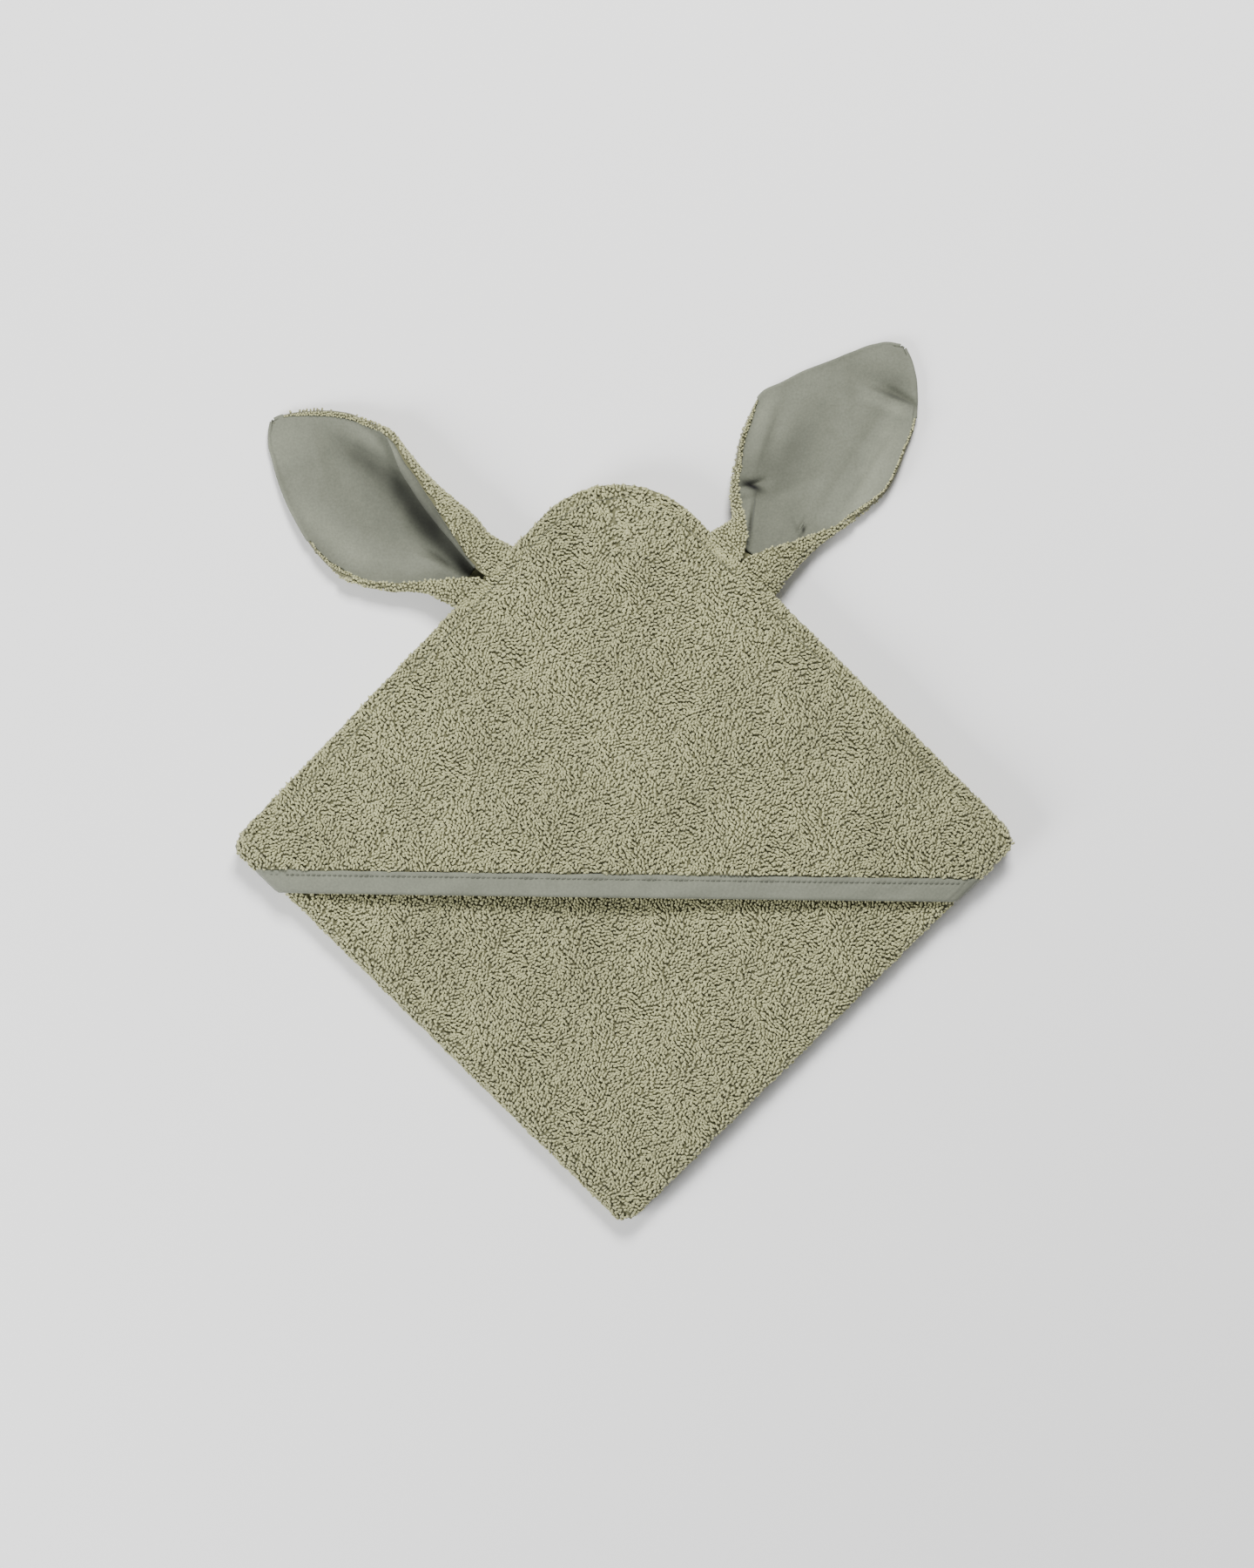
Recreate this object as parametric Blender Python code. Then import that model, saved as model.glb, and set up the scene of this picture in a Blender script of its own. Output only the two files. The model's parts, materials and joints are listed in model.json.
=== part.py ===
"""Hooded baby towel: a square of terry folded in quarters and laid flat, with a lined hood and two ears.

Metres, +Z up. The towel lies as a diamond with its hooded corner towards +Y. The origin is the middle
of the diamond on the face that the towel rests on.
"""

import math

import bmesh
import bpy
from mathutils import Matrix, Vector

# Cloth
TERRY = 0.004  # one layer of terry, loops included
LINING = 0.0008  # woven cotton of the ear linings
BINDING = 0.0007  # woven cotton of the hood's binding
THREAD = 0.0004  # sewing thread, across
CLEARANCE = 0.0003  # between layers that lie on each other
LEAF_GAP = 0.0018  # between the two leaves of the last fold, where hem threads and the label lie

# Towel, folded in quarters
FOLDED_SIDE = 0.375
CORNER_SLIP = {  # how far each corner lies off a true square
    "bottom": (0.001, -0.0058),
    "right": (0.0073, -0.004),
    "top": (-0.005, 0.0063),
    "left": (-0.0043, -0.006),
}
CORNER_RADIUS = {"bottom": 0.010, "right": 0.014, "top": 0.074, "left": 0.010}
CORNER_STEPS = 8
FOLD_HOLD = 0.006  # how far the layers stay joined in from a fold
HEM_INSET = 0.009  # edge stitching, in from the sewn edges
HEM_END = 0.012  # edge stitching, in from the folded towel's side corners
SOFT_EDGE = 0.0012  # rounding of an open edge
ROLL_RINGS = 7  # outlines through a leaf's thickness
SLIT_PAST = 0.01  # the slit between two layers runs this far past the sewn edges

# Hood
MOUTH_DROP = 0.0440  # mouth edge, below the middle of the towel
MOUTH_TILT = -0.0133  # slope of the mouth edge
MOUTH_INSET = 0.0006  # hood and binding, in from the folds they reach
POCKET_RISE = 0.0095  # how far the mouth stands open at its middle
POCKET_FALL = 1.3  # power with which the pocket closes towards the top corner
APEX_STOP = 0.0012  # hood's last row, short of its corner
BINDING_WIDTH = 0.0158
BOUND_TERRY = 0.0026  # terry pressed flat inside the binding
TOPSTITCH_INSET = 0.0026  # below the binding's upper edge
TOPSTITCH_END = 0.004  # in from the hood's ends
TOPSTITCH_STATIONS = 60
STITCH_STEP = 0.014  # between points of a thread along a hem
HOOD_ROWS, HOOD_COLUMNS = 14, 24

# Ears
EAR_LENGTH = 0.182
EAR_WIDTH = 0.108
EAR_DROOP_RUN = 0.062  # from the seam to where an ear rests on the table
EAR_RIM = 0.0028  # terry that shows round a lining
EAR_TIP_CUT = 0.0006  # an ear's first and last rows, in from its ends
EAR_HINGE_LIFT = 0.0004  # fold line of an ear, above the hood's edge
SEAM_STEP = 0.2  # share of the rim that a lining keeps clear at the seam
SEAM_START = 0.028  # where an ear's closing thread starts, out from the seam
SEAM_LIFT = 0.0009  # closing thread, above the terry
EARS = {  # seam's middle as a share of its edge from the first corner, turn from +X, outline as shares
    "left_ear": {
        "edge": ("top", "left"),
        "seam_share": 0.342,
        "turn": 144.0,
        "outline": [
            (0.00, -0.23), (0.10, -0.22), (0.26, -0.27), (0.46, -0.32), (0.59, -0.385), (0.68, -0.38),
            (0.78, -0.35), (0.90, -0.23), (0.985, -0.09), (1.00, 0.02), (0.97, 0.09), (0.79, 0.33),
            (0.60, 0.48), (0.47, 0.52), (0.38, 0.47), (0.25, 0.37), (0.14, 0.27), (0.00, 0.23),
        ],
    },
    "right_ear": {
        "edge": ("right", "top"),
        "seam_share": 0.683,
        "turn": 54.1,
        "outline": [
            (0.00, -0.25), (0.13, -0.285), (0.37, -0.40), (0.54, -0.475), (0.70, -0.42), (0.84, -0.345),
            (0.95, -0.19), (1.00, -0.06), (0.995, 0.04), (0.88, 0.22), (0.71, 0.40), (0.60, 0.50),
            (0.51, 0.53), (0.36, 0.465), (0.22, 0.34), (0.12, 0.21), (0.00, 0.25),
        ],
    },
}
EAR_ROWS, EAR_COLUMNS = 18, 8

# Label
LABEL_SIZE = (0.030, 0.022)
LABEL_THICKNESS = 0.0004
LABEL_SHARE = 0.62  # along the upper left hem, from the left corner

EMPTY_SIZE = 0.02  # how large a joint's empty is drawn

# Heights of the stack
LEAF = 2 * TERRY + CLEARANCE
FRONT_BASE = LEAF + LEAF_GAP
FRONT_TOP = FRONT_BASE + LEAF
MIDDLE = (LEAF + FRONT_BASE) / 2
HOOD_BASE = FRONT_TOP + 2 * CLEARANCE
EAR_HINGE = HOOD_BASE + TERRY + EAR_HINGE_LIFT

TERRY_ROUGHNESS = 0.95
COTTON_ROUGHNESS = 0.8
THREAD_ROUGHNESS = 0.6
LABEL_ROUGHNESS = 0.7
SAGE = (0.42, 0.41, 0.27)
GREY_GREEN = (0.29, 0.30, 0.25)
THREAD_GREEN = (0.36, 0.36, 0.29)
LABEL_WHITE = (0.85, 0.85, 0.82)


def clear_scene():
    for item in list(bpy.data.objects):
        bpy.data.objects.remove(item, do_unlink=True)


def finish_of(name, colour, roughness):
    """A plain Principled material."""
    material = bpy.data.materials.new(name)
    material.use_nodes = True
    shader = material.node_tree.nodes["Principled BSDF"]
    shader.inputs["Base Color"].default_value = (*colour, 1.0)
    shader.inputs["Roughness"].default_value = roughness
    shader.inputs["Metallic"].default_value = 0.0
    return material


def add_mesh(collection, name, bm, colour, roughness):
    """Put a bmesh into the scene as one named object with its own material."""
    bmesh.ops.recalc_face_normals(bm, faces=bm.faces)
    mesh = bpy.data.meshes.new(name)
    bm.to_mesh(mesh)
    bm.free()
    mesh.materials.append(finish_of(name, colour, roughness))
    item = bpy.data.objects.new(name, mesh)
    collection.objects.link(item)
    return item


def loft(collection, name, rings, colour, roughness):
    """A closed solid through rings of points that all have the same count."""
    bm = bmesh.new()
    rows = [[bm.verts.new(point) for point in ring] for ring in rings]
    count = len(rows[0])
    for low, high in zip(rows, rows[1:]):
        for i in range(count):
            j = (i + 1) % count
            bm.faces.new((low[i], low[j], high[j], high[i]))
    bm.faces.new(rows[0][::-1])
    bm.faces.new(rows[-1])
    bmesh.ops.triangulate(bm, faces=[face for face in bm.faces if len(face.verts) > 4])
    return add_mesh(collection, name, bm, colour, roughness)


def corner_points():
    """The folded towel's four corners, counter-clockwise from the bottom one."""
    half = FOLDED_SIDE / math.sqrt(2)
    square = {"bottom": (0, -half), "right": (half, 0), "top": (0, half), "left": (-half, 0)}
    return {name: Vector(at) + Vector(CORNER_SLIP[name]) for name, at in square.items()}


CORNERS = corner_points()
ORDER = ("bottom", "right", "top", "left")
SIDES = ("fold_right", "hem_right", "hem_left", "fold_left")  # each starts at the corner of its place


def crossing(a, along_a, b, along_b):
    """Where two lines in the plane meet."""
    share = (b - a).cross(along_b) / along_a.cross(along_b)
    return a + along_a * share


def inward(side):
    start = CORNERS[ORDER[side]]
    along = (CORNERS[ORDER[(side + 1) % 4]] - start).normalized()
    return along, Vector((-along.y, along.x))


def outline(insets):
    """The folded towel's outline with each side moved in by its own amount, corners rounded."""
    lines = []
    for side, name in enumerate(SIDES):
        along, normal = inward(side)
        lines.append((CORNERS[ORDER[side]] + normal * insets[name], along))
    points = []
    for side, name in enumerate(ORDER):
        before, along_before = lines[side - 1]
        after, along_after = lines[side]
        corner = crossing(before, along_before, after, along_after)
        turn = along_before.angle(along_after)
        shrink = min(insets[SIDES[side - 1]], insets[SIDES[side]])
        radius = max(CORNER_RADIUS[name] - shrink, SOFT_EDGE)
        centre = corner - along_before * radius * math.tan(turn / 2)
        centre += Vector((-along_before.y, along_before.x)) * radius
        for step in range(CORNER_STEPS + 1):
            angle = turn * step / CORNER_STEPS
            spoke = Vector((along_before.y, -along_before.x))
            spoke.rotate(Matrix.Rotation(angle, 2))
            points.append(centre + spoke * radius)
    return points


def even(amount):
    return dict.fromkeys(SIDES, amount)


def span_on(ring, height, slope):
    """Lowest and highest x where the line y = height + slope * x crosses a closed outline."""
    found = []
    for a, b in zip(ring, ring[1:] + ring[:1]):
        rise_a = a[1] - slope * a[0] - height
        rise_b = b[1] - slope * b[0] - height
        if (rise_a > 0) != (rise_b > 0):
            found.append(a[0] + (b[0] - a[0]) * rise_a / (rise_a - rise_b))
    return min(found), max(found)


def leaf(collection, cutters, name, base, rolled_up):
    """Two layers joined along the right fold. The left fold's outer face is a quarter roll."""
    rings = []
    for step in range(ROLL_RINGS):
        share = (1 - math.cos(math.pi * step / (ROLL_RINGS - 1))) / 2
        height = LEAF * share
        rise = share if rolled_up else 1 - share
        round_left = LEAF * (1 - math.sqrt(max(0.0, 1 - (1 - rise) ** 2)))
        round_right = LEAF / 2 * (1 - math.sqrt(max(0.0, 1 - (2 * share - 1) ** 2)))
        soft = SOFT_EDGE * (abs(2 * share - 1) ** 4)
        insets = {"fold_right": round_right, "hem_right": soft, "hem_left": soft, "fold_left": round_left}
        rings.append([(*point, base + height) for point in outline(insets)])
    solid = loft(collection, name, rings, SAGE, TERRY_ROUGHNESS)

    slit = {
        "fold_right": FOLD_HOLD,
        "hem_right": -SLIT_PAST,
        "hem_left": -SLIT_PAST,
        "fold_left": LEAF + FOLD_HOLD,
    }
    low = base + TERRY
    slit_rings = [[(*point, z) for point in outline(slit)] for z in (low, low + CLEARANCE)]
    cutter = loft(cutters, name + "_slit", slit_rings, SAGE, TERRY_ROUGHNESS)
    cutter.hide_render = True
    cutter.display_type = "WIRE"
    cut = solid.modifiers.new("slit", "BOOLEAN")
    cut.operation = "DIFFERENCE"
    cut.solver = "EXACT"
    cut.object = cutter
    return solid


HOOD_EDGE = [tuple(point) for point in outline(even(MOUTH_INSET))]


def hood_apex():
    return max(y - MOUTH_TILT * x for x, y in HOOD_EDGE)


def hood_span(up):
    """Left and right ends of the hood's row that lies up from the mouth."""
    return span_on(HOOD_EDGE, up - MOUTH_DROP, MOUTH_TILT)


def hood_floor(x, up):
    """Height of the hood's underside: it stands open at the mouth and closes towards its sewn edges."""
    left, right = hood_span(up)
    across = min(max((x - left) / (right - left), 0.0), 1.0)
    run = hood_apex() + MOUTH_DROP
    dome = 4 * across * (1 - across) * (1 - min(max(up / run, 0.0), 1.0)) ** POCKET_FALL
    return HOOD_BASE + POCKET_RISE * dome


def hood_at(x, up, lift):
    """A point of the hood at a height above its underside."""
    return Vector((x, up - MOUTH_DROP + MOUTH_TILT * x, hood_floor(x, up) + lift))


def hood_panel(collection):
    """Rows of closed sections from the mouth to just short of the top corner."""
    low, high = bound_lifts()
    edge_gap = (high - low) / 2 + CLEARANCE
    run = hood_apex() + MOUTH_DROP
    bound = BINDING_WIDTH + CLEARANCE
    ups = [edge_gap, bound, bound + TERRY]
    last = run - APEX_STOP
    ups += [bound + TERRY + (last - bound - TERRY) * math.sin(math.pi / 2 * k / HOOD_ROWS)
            for k in range(1, HOOD_ROWS + 1)]
    rings = []
    for up in ups:
        left, right = hood_span(up)
        pressed = up <= bound
        sink = (TERRY - BOUND_TERRY) / 2 if pressed else 0.0
        thick = BOUND_TERRY if pressed else TERRY
        xs = [left + (right - left) * k / HOOD_COLUMNS for k in range(HOOD_COLUMNS + 1)]
        lower = [hood_at(x, up, sink) for x in xs]
        upper = [hood_at(x, up, sink + thick) for x in reversed(xs)]
        rings.append(lower + upper)
    return loft(collection, "hood_panel", rings, SAGE, TERRY_ROUGHNESS)


def bound_lifts():
    """Lowest and highest lift of the binding round the hood's pressed edge."""
    low = (TERRY - BOUND_TERRY) / 2 - CLEARANCE - BINDING
    high = (TERRY + BOUND_TERRY) / 2 + CLEARANCE + BINDING
    return low, high


def hood_binding(collection):
    """A strip folded over the mouth edge, the same width above and below."""
    low, high = bound_lifts()
    middle, outer = (low + high) / 2, (high - low) / 2
    inner = outer - BINDING
    section = [(BINDING_WIDTH, low)]
    section += [(outer * (1 - math.cos(a)), middle - outer * math.sin(a))
                for a in (math.pi / 2 * (1 - k / 3) for k in range(7))]
    section += [(BINDING_WIDTH, high), (BINDING_WIDTH, high - BINDING)]
    section += [(BINDING + inner * (1 - math.cos(a)), middle - inner * math.sin(a))
                for a in (-math.pi / 2 * (1 - k / 2) for k in range(5))]
    section.append((BINDING_WIDTH, low + BINDING))
    ends = [hood_span(up) for up, _ in section]
    rings = []
    for k in range(HOOD_COLUMNS + 1):
        share = k / HOOD_COLUMNS
        ring = []
        for (up, lift), (start, end) in zip(section, ends):
            ring.append(hood_at(start + (end - start) * share, up, lift))
        rings.append(ring)
    return loft(collection, "hood_binding", rings, GREY_GREEN, COTTON_ROUGHNESS)


def thread(collection, name, points):
    """A sewing thread as a tube along a path."""
    curve = bpy.data.curves.new(name, "CURVE")
    curve.dimensions = "3D"
    curve.bevel_depth = THREAD / 2
    curve.bevel_resolution = 1
    curve.use_fill_caps = True
    curve.materials.append(finish_of(name, THREAD_GREEN, THREAD_ROUGHNESS))
    spline = curve.splines.new("POLY")
    spline.points.add(len(points) - 1)
    for slot, point in zip(spline.points, points):
        slot.co = (*point, 1.0)
    item = bpy.data.objects.new(name, curve)
    collection.objects.link(item)
    return item


def binding_topstitch(collection):
    """The thread that closes the binding, along its upper edge."""
    up = BINDING_WIDTH - TOPSTITCH_INSET
    lift = bound_lifts()[1] + CLEARANCE + THREAD / 2
    left, right = hood_span(up)
    start, run = left + TOPSTITCH_END, right - left - 2 * TOPSTITCH_END
    xs = [start + run * k / TOPSTITCH_STATIONS for k in range(TOPSTITCH_STATIONS + 1)]
    return thread(collection, "binding_topstitch", [hood_at(x, up, lift) for x in xs])


def hem_path():
    """Points of the edge stitching from the right corner over the top to the left one."""
    per_corner = CORNER_STEPS + 1
    path = outline(even(HEM_INSET))[2 * per_corner - 1: 3 * per_corner + 1]
    path[0] += (path[1] - path[0]).normalized() * HEM_END
    path[-1] += (path[-2] - path[-1]).normalized() * HEM_END
    filled = []
    for a, b in zip(path, path[1:]):
        pieces = max(1, round((b - a).length / STITCH_STEP))
        filled += [a.lerp(b, k / pieces) for k in range(pieces)]
    return filled + [path[-1]]


def hood_edge_stitch(collection):
    """The thread that joins the hood to the towel's two sewn edges."""
    lift = TERRY + CLEARANCE + THREAD / 2
    points = [hood_at(p.x, p.y + MOUTH_DROP - MOUTH_TILT * p.x, lift) for p in hem_path()]
    return thread(collection, "hood_edge_stitch", points)


def ear_frame(ear):
    """The middle of an ear's seam, its length direction and its left-hand direction."""
    start, end = (CORNERS[name] for name in ear["edge"])
    middle = start.lerp(end, ear["seam_share"])
    turn = math.radians(ear["turn"])
    along = Vector((math.cos(turn), math.sin(turn)))
    return middle, along, Vector((-along.y, along.x))


def smooth_outline(points, steps=3):
    """A closed curve through the points of an outline, left open at its first and last."""
    curve = []
    for i in range(len(points) - 1):
        a, b = points[max(i - 1, 0)], points[i]
        c, d = points[i + 1], points[min(i + 2, len(points) - 1)]
        for k in range(steps):
            t = k / steps
            curve.append(tuple(
                0.5 * (2 * q + (r - p) * t + (2 * p - 5 * q + 4 * r - s) * t * t
                       + (3 * q - p - 3 * r + s) * t ** 3)
                for p, q, r, s in zip(a, b, c, d)))
    return curve + [points[-1]]


def ear_height(out):
    """Height of an ear's underside: it leaves the seam high and comes down onto the table."""
    share = min(max(out / EAR_DROOP_RUN, 0.0), 1.0)
    drop = share * share * (3 - 2 * share)
    return (EAR_HINGE - 2 * TERRY) * (1 - drop)


def ear_shape(ear, inset):
    """An ear's outline in its own plane, as length and width, moved in from its edge."""
    shape = [Vector((s * EAR_LENGTH, w * EAR_WIDTH)) for s, w in smooth_outline(ear["outline"])]
    moved = []
    for i, point in enumerate(shape):
        run = shape[min(i + 1, len(shape) - 1)] - shape[max(i - 1, 0)]
        moved.append(point + Vector((-run.y, run.x)).normalized() * inset)
    return moved


def ear_edge_normal(ear):
    """Away from the towel, across the sewn edge that carries an ear."""
    start, end = (CORNERS[name] for name in ear["edge"])
    along = (end - start).normalized()
    return Vector((along.y, -along.x))


def ear_outward(ear, point):
    """How far a point lies outside that sewn edge."""
    return (point - CORNERS[ear["edge"][0]]).dot(ear_edge_normal(ear))


def ear_solid(collection, name, ear, inset, low, high, colour, roughness):
    """A leaf-shaped layer of an ear, between two heights over the ear's underside."""
    middle, along, left = ear_frame(ear)
    shape = ear_shape(ear, inset)
    ring = [(w, s) for s, w in shape]
    last = max(s for s, _ in shape) - EAR_TIP_CUT
    nearest = 2 * CLEARANCE + inset * SEAM_STEP
    rings = []
    for k in range(EAR_ROWS + 1):
        share = k / EAR_ROWS
        s = EAR_TIP_CUT + (last - EAR_TIP_CUT) * (share + math.sin(math.pi / 2 * share)) / 2
        start, end = span_on(ring, s, 0.0)
        lower, upper = [], []
        for c in range(EAR_COLUMNS + 1):
            place = middle + along * s + left * (start + (end - start) * c / EAR_COLUMNS)
            short = nearest - ear_outward(ear, place)
            if short > 0:  # the seam runs along the towel's edge
                place += ear_edge_normal(ear) * short
            floor = ear_height(ear_outward(ear, place))
            lower.append((*place, floor + low))
            upper.append((*place, floor + high))
        rings.append(lower + upper[::-1])
    return loft(collection, name, rings, colour, roughness)


def ear_seam(collection, name, ear):
    """The thread that closes an ear, in the step beside the lining's edge."""
    middle, along, left = ear_frame(ear)
    points = []
    for s, w in ear_shape(ear, EAR_RIM - 3 * CLEARANCE - THREAD / 2):
        if s > SEAM_START:
            place = middle + along * s + left * w
            lift = TERRY + SEAM_LIFT + THREAD / 2
            points.append((*place, ear_height(ear_outward(ear, place)) + lift))
    return thread(collection, name, points)


def make_ear(collection, name, ear):
    """An ear's terry back, its lining and the thread that closes it."""
    low = TERRY + CLEARANCE
    return [
        ear_solid(collection, name + "_back", ear, 0.0, 0.0, TERRY, SAGE, TERRY_ROUGHNESS),
        ear_solid(collection, name + "_lining", ear, EAR_RIM, low, low + LINING, GREY_GREEN,
                  COTTON_ROUGHNESS),
        ear_seam(collection, name + "_seam", ear),
    ]


def care_label(collection):
    """A blank label that lies on the back leaf, sewn in at the upper left hem."""
    start, end = CORNERS["left"], CORNERS["top"]
    along = (end - start).normalized()
    into = Vector((along.y, -along.x))
    at = start.lerp(end, LABEL_SHARE) + into * (HEM_INSET + 3 * THREAD + LABEL_SIZE[1] / 2)
    base = LEAF + CLEARANCE
    corners = [at + along * LABEL_SIZE[0] * a + into * LABEL_SIZE[1] * b
               for a, b in ((-0.5, -0.5), (0.5, -0.5), (0.5, 0.5), (-0.5, 0.5))]
    rings = [[(*corner, z) for corner in corners] for z in (base, base + LABEL_THICKNESS)]
    return loft(collection, "care_label", rings, LABEL_WHITE, LABEL_ROUGHNESS)


def hang(collection, name, at, pieces):
    """Parent pieces to an empty on their joint's axis, without moving them."""
    empty = bpy.data.objects.new(name, None)
    empty.empty_display_size = EMPTY_SIZE
    empty.location = at
    collection.objects.link(empty)
    for piece in pieces:
        piece.parent = empty
        piece.location -= at
    return empty


def main():
    clear_scene()
    parts = bpy.data.collections.new("hooded_baby_towel")
    cutters = bpy.data.collections.new("cutters")
    for collection in (parts, cutters):
        bpy.context.scene.collection.children.link(collection)

    leaf(parts, cutters, "towel_back_leaf", 0.0, rolled_up=True)
    low = LEAF + CLEARANCE + THREAD / 2
    thread(parts, "back_hem_stitch", [(*p, low) for p in hem_path()])
    care_label(parts)

    high = FRONT_BASE - CLEARANCE - THREAD / 2
    upper = [
        leaf(parts, cutters, "towel_front_leaf", FRONT_BASE, rolled_up=False),
        thread(parts, "front_hem_stitch", [(*p, high) for p in hem_path()]),
        hood_panel(parts),
        hood_binding(parts),
        binding_topstitch(parts),
        hood_edge_stitch(parts),
    ]
    for name, ear in EARS.items():
        seam = ear_frame(ear)[0].to_3d() + Vector((0, 0, EAR_HINGE))
        upper.append(hang(parts, name + "_axis", seam, make_ear(parts, name, ear)))
    fold = CORNERS["left"].lerp(CORNERS["bottom"], 0.5).to_3d() + Vector((0, 0, MIDDLE))
    hang(parts, "fold_axis", fold, upper)


main()
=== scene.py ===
"""Hooded baby towel, folded in quarters and laid flat: terry with real loops, a bound hood, two lined ears.

Laid out as an add-on and run as a script. Sizes are metres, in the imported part's frame.
"""

import json
import math

import bmesh
import bpy
import numpy as np
from bpy.props import FloatProperty, FloatVectorProperty, IntProperty, PointerProperty
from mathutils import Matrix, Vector


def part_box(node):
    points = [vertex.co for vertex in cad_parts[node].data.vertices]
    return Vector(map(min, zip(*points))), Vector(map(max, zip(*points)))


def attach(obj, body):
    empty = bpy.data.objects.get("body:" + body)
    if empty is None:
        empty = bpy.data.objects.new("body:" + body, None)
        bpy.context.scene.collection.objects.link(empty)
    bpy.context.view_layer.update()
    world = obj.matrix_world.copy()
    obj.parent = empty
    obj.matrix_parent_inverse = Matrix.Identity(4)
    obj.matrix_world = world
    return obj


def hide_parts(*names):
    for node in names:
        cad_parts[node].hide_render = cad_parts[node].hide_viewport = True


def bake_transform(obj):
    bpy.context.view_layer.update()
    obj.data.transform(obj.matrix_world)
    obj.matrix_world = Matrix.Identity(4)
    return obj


bl_info = {
    "name": "Hooded Baby Towel",
    "version": (1, 0, 0),
    "blender": (4, 5, 0),
    "location": "3D View > Sidebar > Towel",
    "description": "Makes a folded terry towel with a bound hood and two lined ears",
    "category": "Add Mesh",
}

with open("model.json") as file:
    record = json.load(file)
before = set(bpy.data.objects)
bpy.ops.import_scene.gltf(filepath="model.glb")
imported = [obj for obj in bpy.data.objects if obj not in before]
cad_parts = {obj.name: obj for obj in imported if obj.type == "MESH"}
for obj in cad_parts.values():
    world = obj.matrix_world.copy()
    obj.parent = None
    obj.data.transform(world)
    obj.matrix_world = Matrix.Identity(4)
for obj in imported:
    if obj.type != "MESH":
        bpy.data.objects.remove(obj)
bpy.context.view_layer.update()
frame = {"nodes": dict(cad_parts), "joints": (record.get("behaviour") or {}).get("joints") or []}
JOINTS = {joint["name"]: joint for joint in frame["joints"]}
BODY_BACK, BODY_FRONT = "lower_half", "upper_half"

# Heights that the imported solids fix
FRONT_LOW, FRONT_HIGH = (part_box("towel_front_leaf")[k].z for k in (0, 1))
MIDDLE = JOINTS["fold_open"]["pos_m"][2]
HALF_STACK = FRONT_HIGH - MIDDLE
HALF_LEAF = (FRONT_HIGH - FRONT_LOW) / 2
HOOD_CLEAR = 0.0006
HOOD_BASE = FRONT_HIGH + HOOD_CLEAR
HINGE_HEIGHT = JOINTS["left_ear_flop"]["pos_m"][2]


class TowelSizes(bpy.types.PropertyGroup):
    """Sizes and colours that a user would change."""

    loop_gap: FloatProperty(
        name="Loop spacing", description="Distance between neighbouring loops on the outer faces",
        default=0.0021, unit="LENGTH")
    inner_gap: FloatProperty(
        name="Inner loop spacing", description="Distance between loops on faces hidden by the folds",
        default=0.0036, unit="LENGTH")
    loop_reach: FloatProperty(
        name="Loop length", description="How far a loop leans over the ground cloth",
        default=0.0023, unit="LENGTH")
    loop_width: FloatProperty(
        name="Loop width", description="Thickness of a loop's twisted yarn",
        default=0.00165, unit="LENGTH")
    ground: FloatProperty(
        name="Ground thickness", description="Terry's ground cloth without its loops",
        default=0.0018, unit="LENGTH")
    binding_width: FloatProperty(
        name="Binding width", description="Width of the strip along the hood's mouth",
        default=0.0160, unit="LENGTH")
    stitch: FloatProperty(
        name="Stitch length", description="Length of one stitch of the topstitching",
        default=0.0036, unit="LENGTH")
    seed: IntProperty(name="Seed", description="Varies how the loops fall", default=7)
    terry: FloatVectorProperty(
        name="Terry", description="Colour of the loops", subtype="COLOR", size=3,
        default=(0.346, 0.343, 0.177), min=0, max=1)
    cotton: FloatVectorProperty(
        name="Cotton", description="Colour of the binding and the ear linings", subtype="COLOR", size=3,
        default=(0.157, 0.166, 0.126), min=0, max=1)
    thread: FloatVectorProperty(
        name="Thread", description="Colour of the sewing thread", subtype="COLOR", size=3,
        default=(0.07, 0.075, 0.052), min=0, max=1)


def sizes():
    """The sizes and colours in use."""
    return bpy.context.scene.towel


# ---------------------------------------------------------------- shapes in numbers


def unit(v):
    """Vectors at length 1."""
    return v / np.maximum(np.linalg.norm(v, axis=-1, keepdims=True), 1e-12)


def smooth(t):
    """Eases from 0 to 1."""
    t = np.clip(t, 0.0, 1.0)
    return t * t * (3 - 2 * t)


def inward(p, q):
    """Unit vector to the left of the way from p to q."""
    along = (q - p) / np.linalg.norm(q - p)
    return np.array([-along[1], along[0]])


def ripples(x, y, size, seed):
    """Smooth bumps between about -1 and 1 whose width is near size."""
    rng = np.random.default_rng(seed)
    total = np.zeros_like(np.asarray(x, float))
    for _ in range(7):
        turn, phase = rng.uniform(0, 2 * math.pi, 2)
        width = size * rng.uniform(0.7, 1.6)
        total = total + np.sin((x * math.cos(turn) + y * math.sin(turn)) * 2 * math.pi / width + phase)
    return total / 2.6


# ---------------------------------------------------------------- the folded outline


def hull_of(points):
    """The outermost of sorted points, in turn."""
    chains = []
    for ordered in (points, points[::-1]):
        kept = []
        for p in ordered:
            while len(kept) > 1 and ((kept[-1][0] - kept[-2][0]) * (p[1] - kept[-2][1])
                                     - (kept[-1][1] - kept[-2][1]) * (p[0] - kept[-2][0])) <= 0:
                kept.pop()
            kept.append(p)
        chains += kept[:-1]
    return chains


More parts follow.
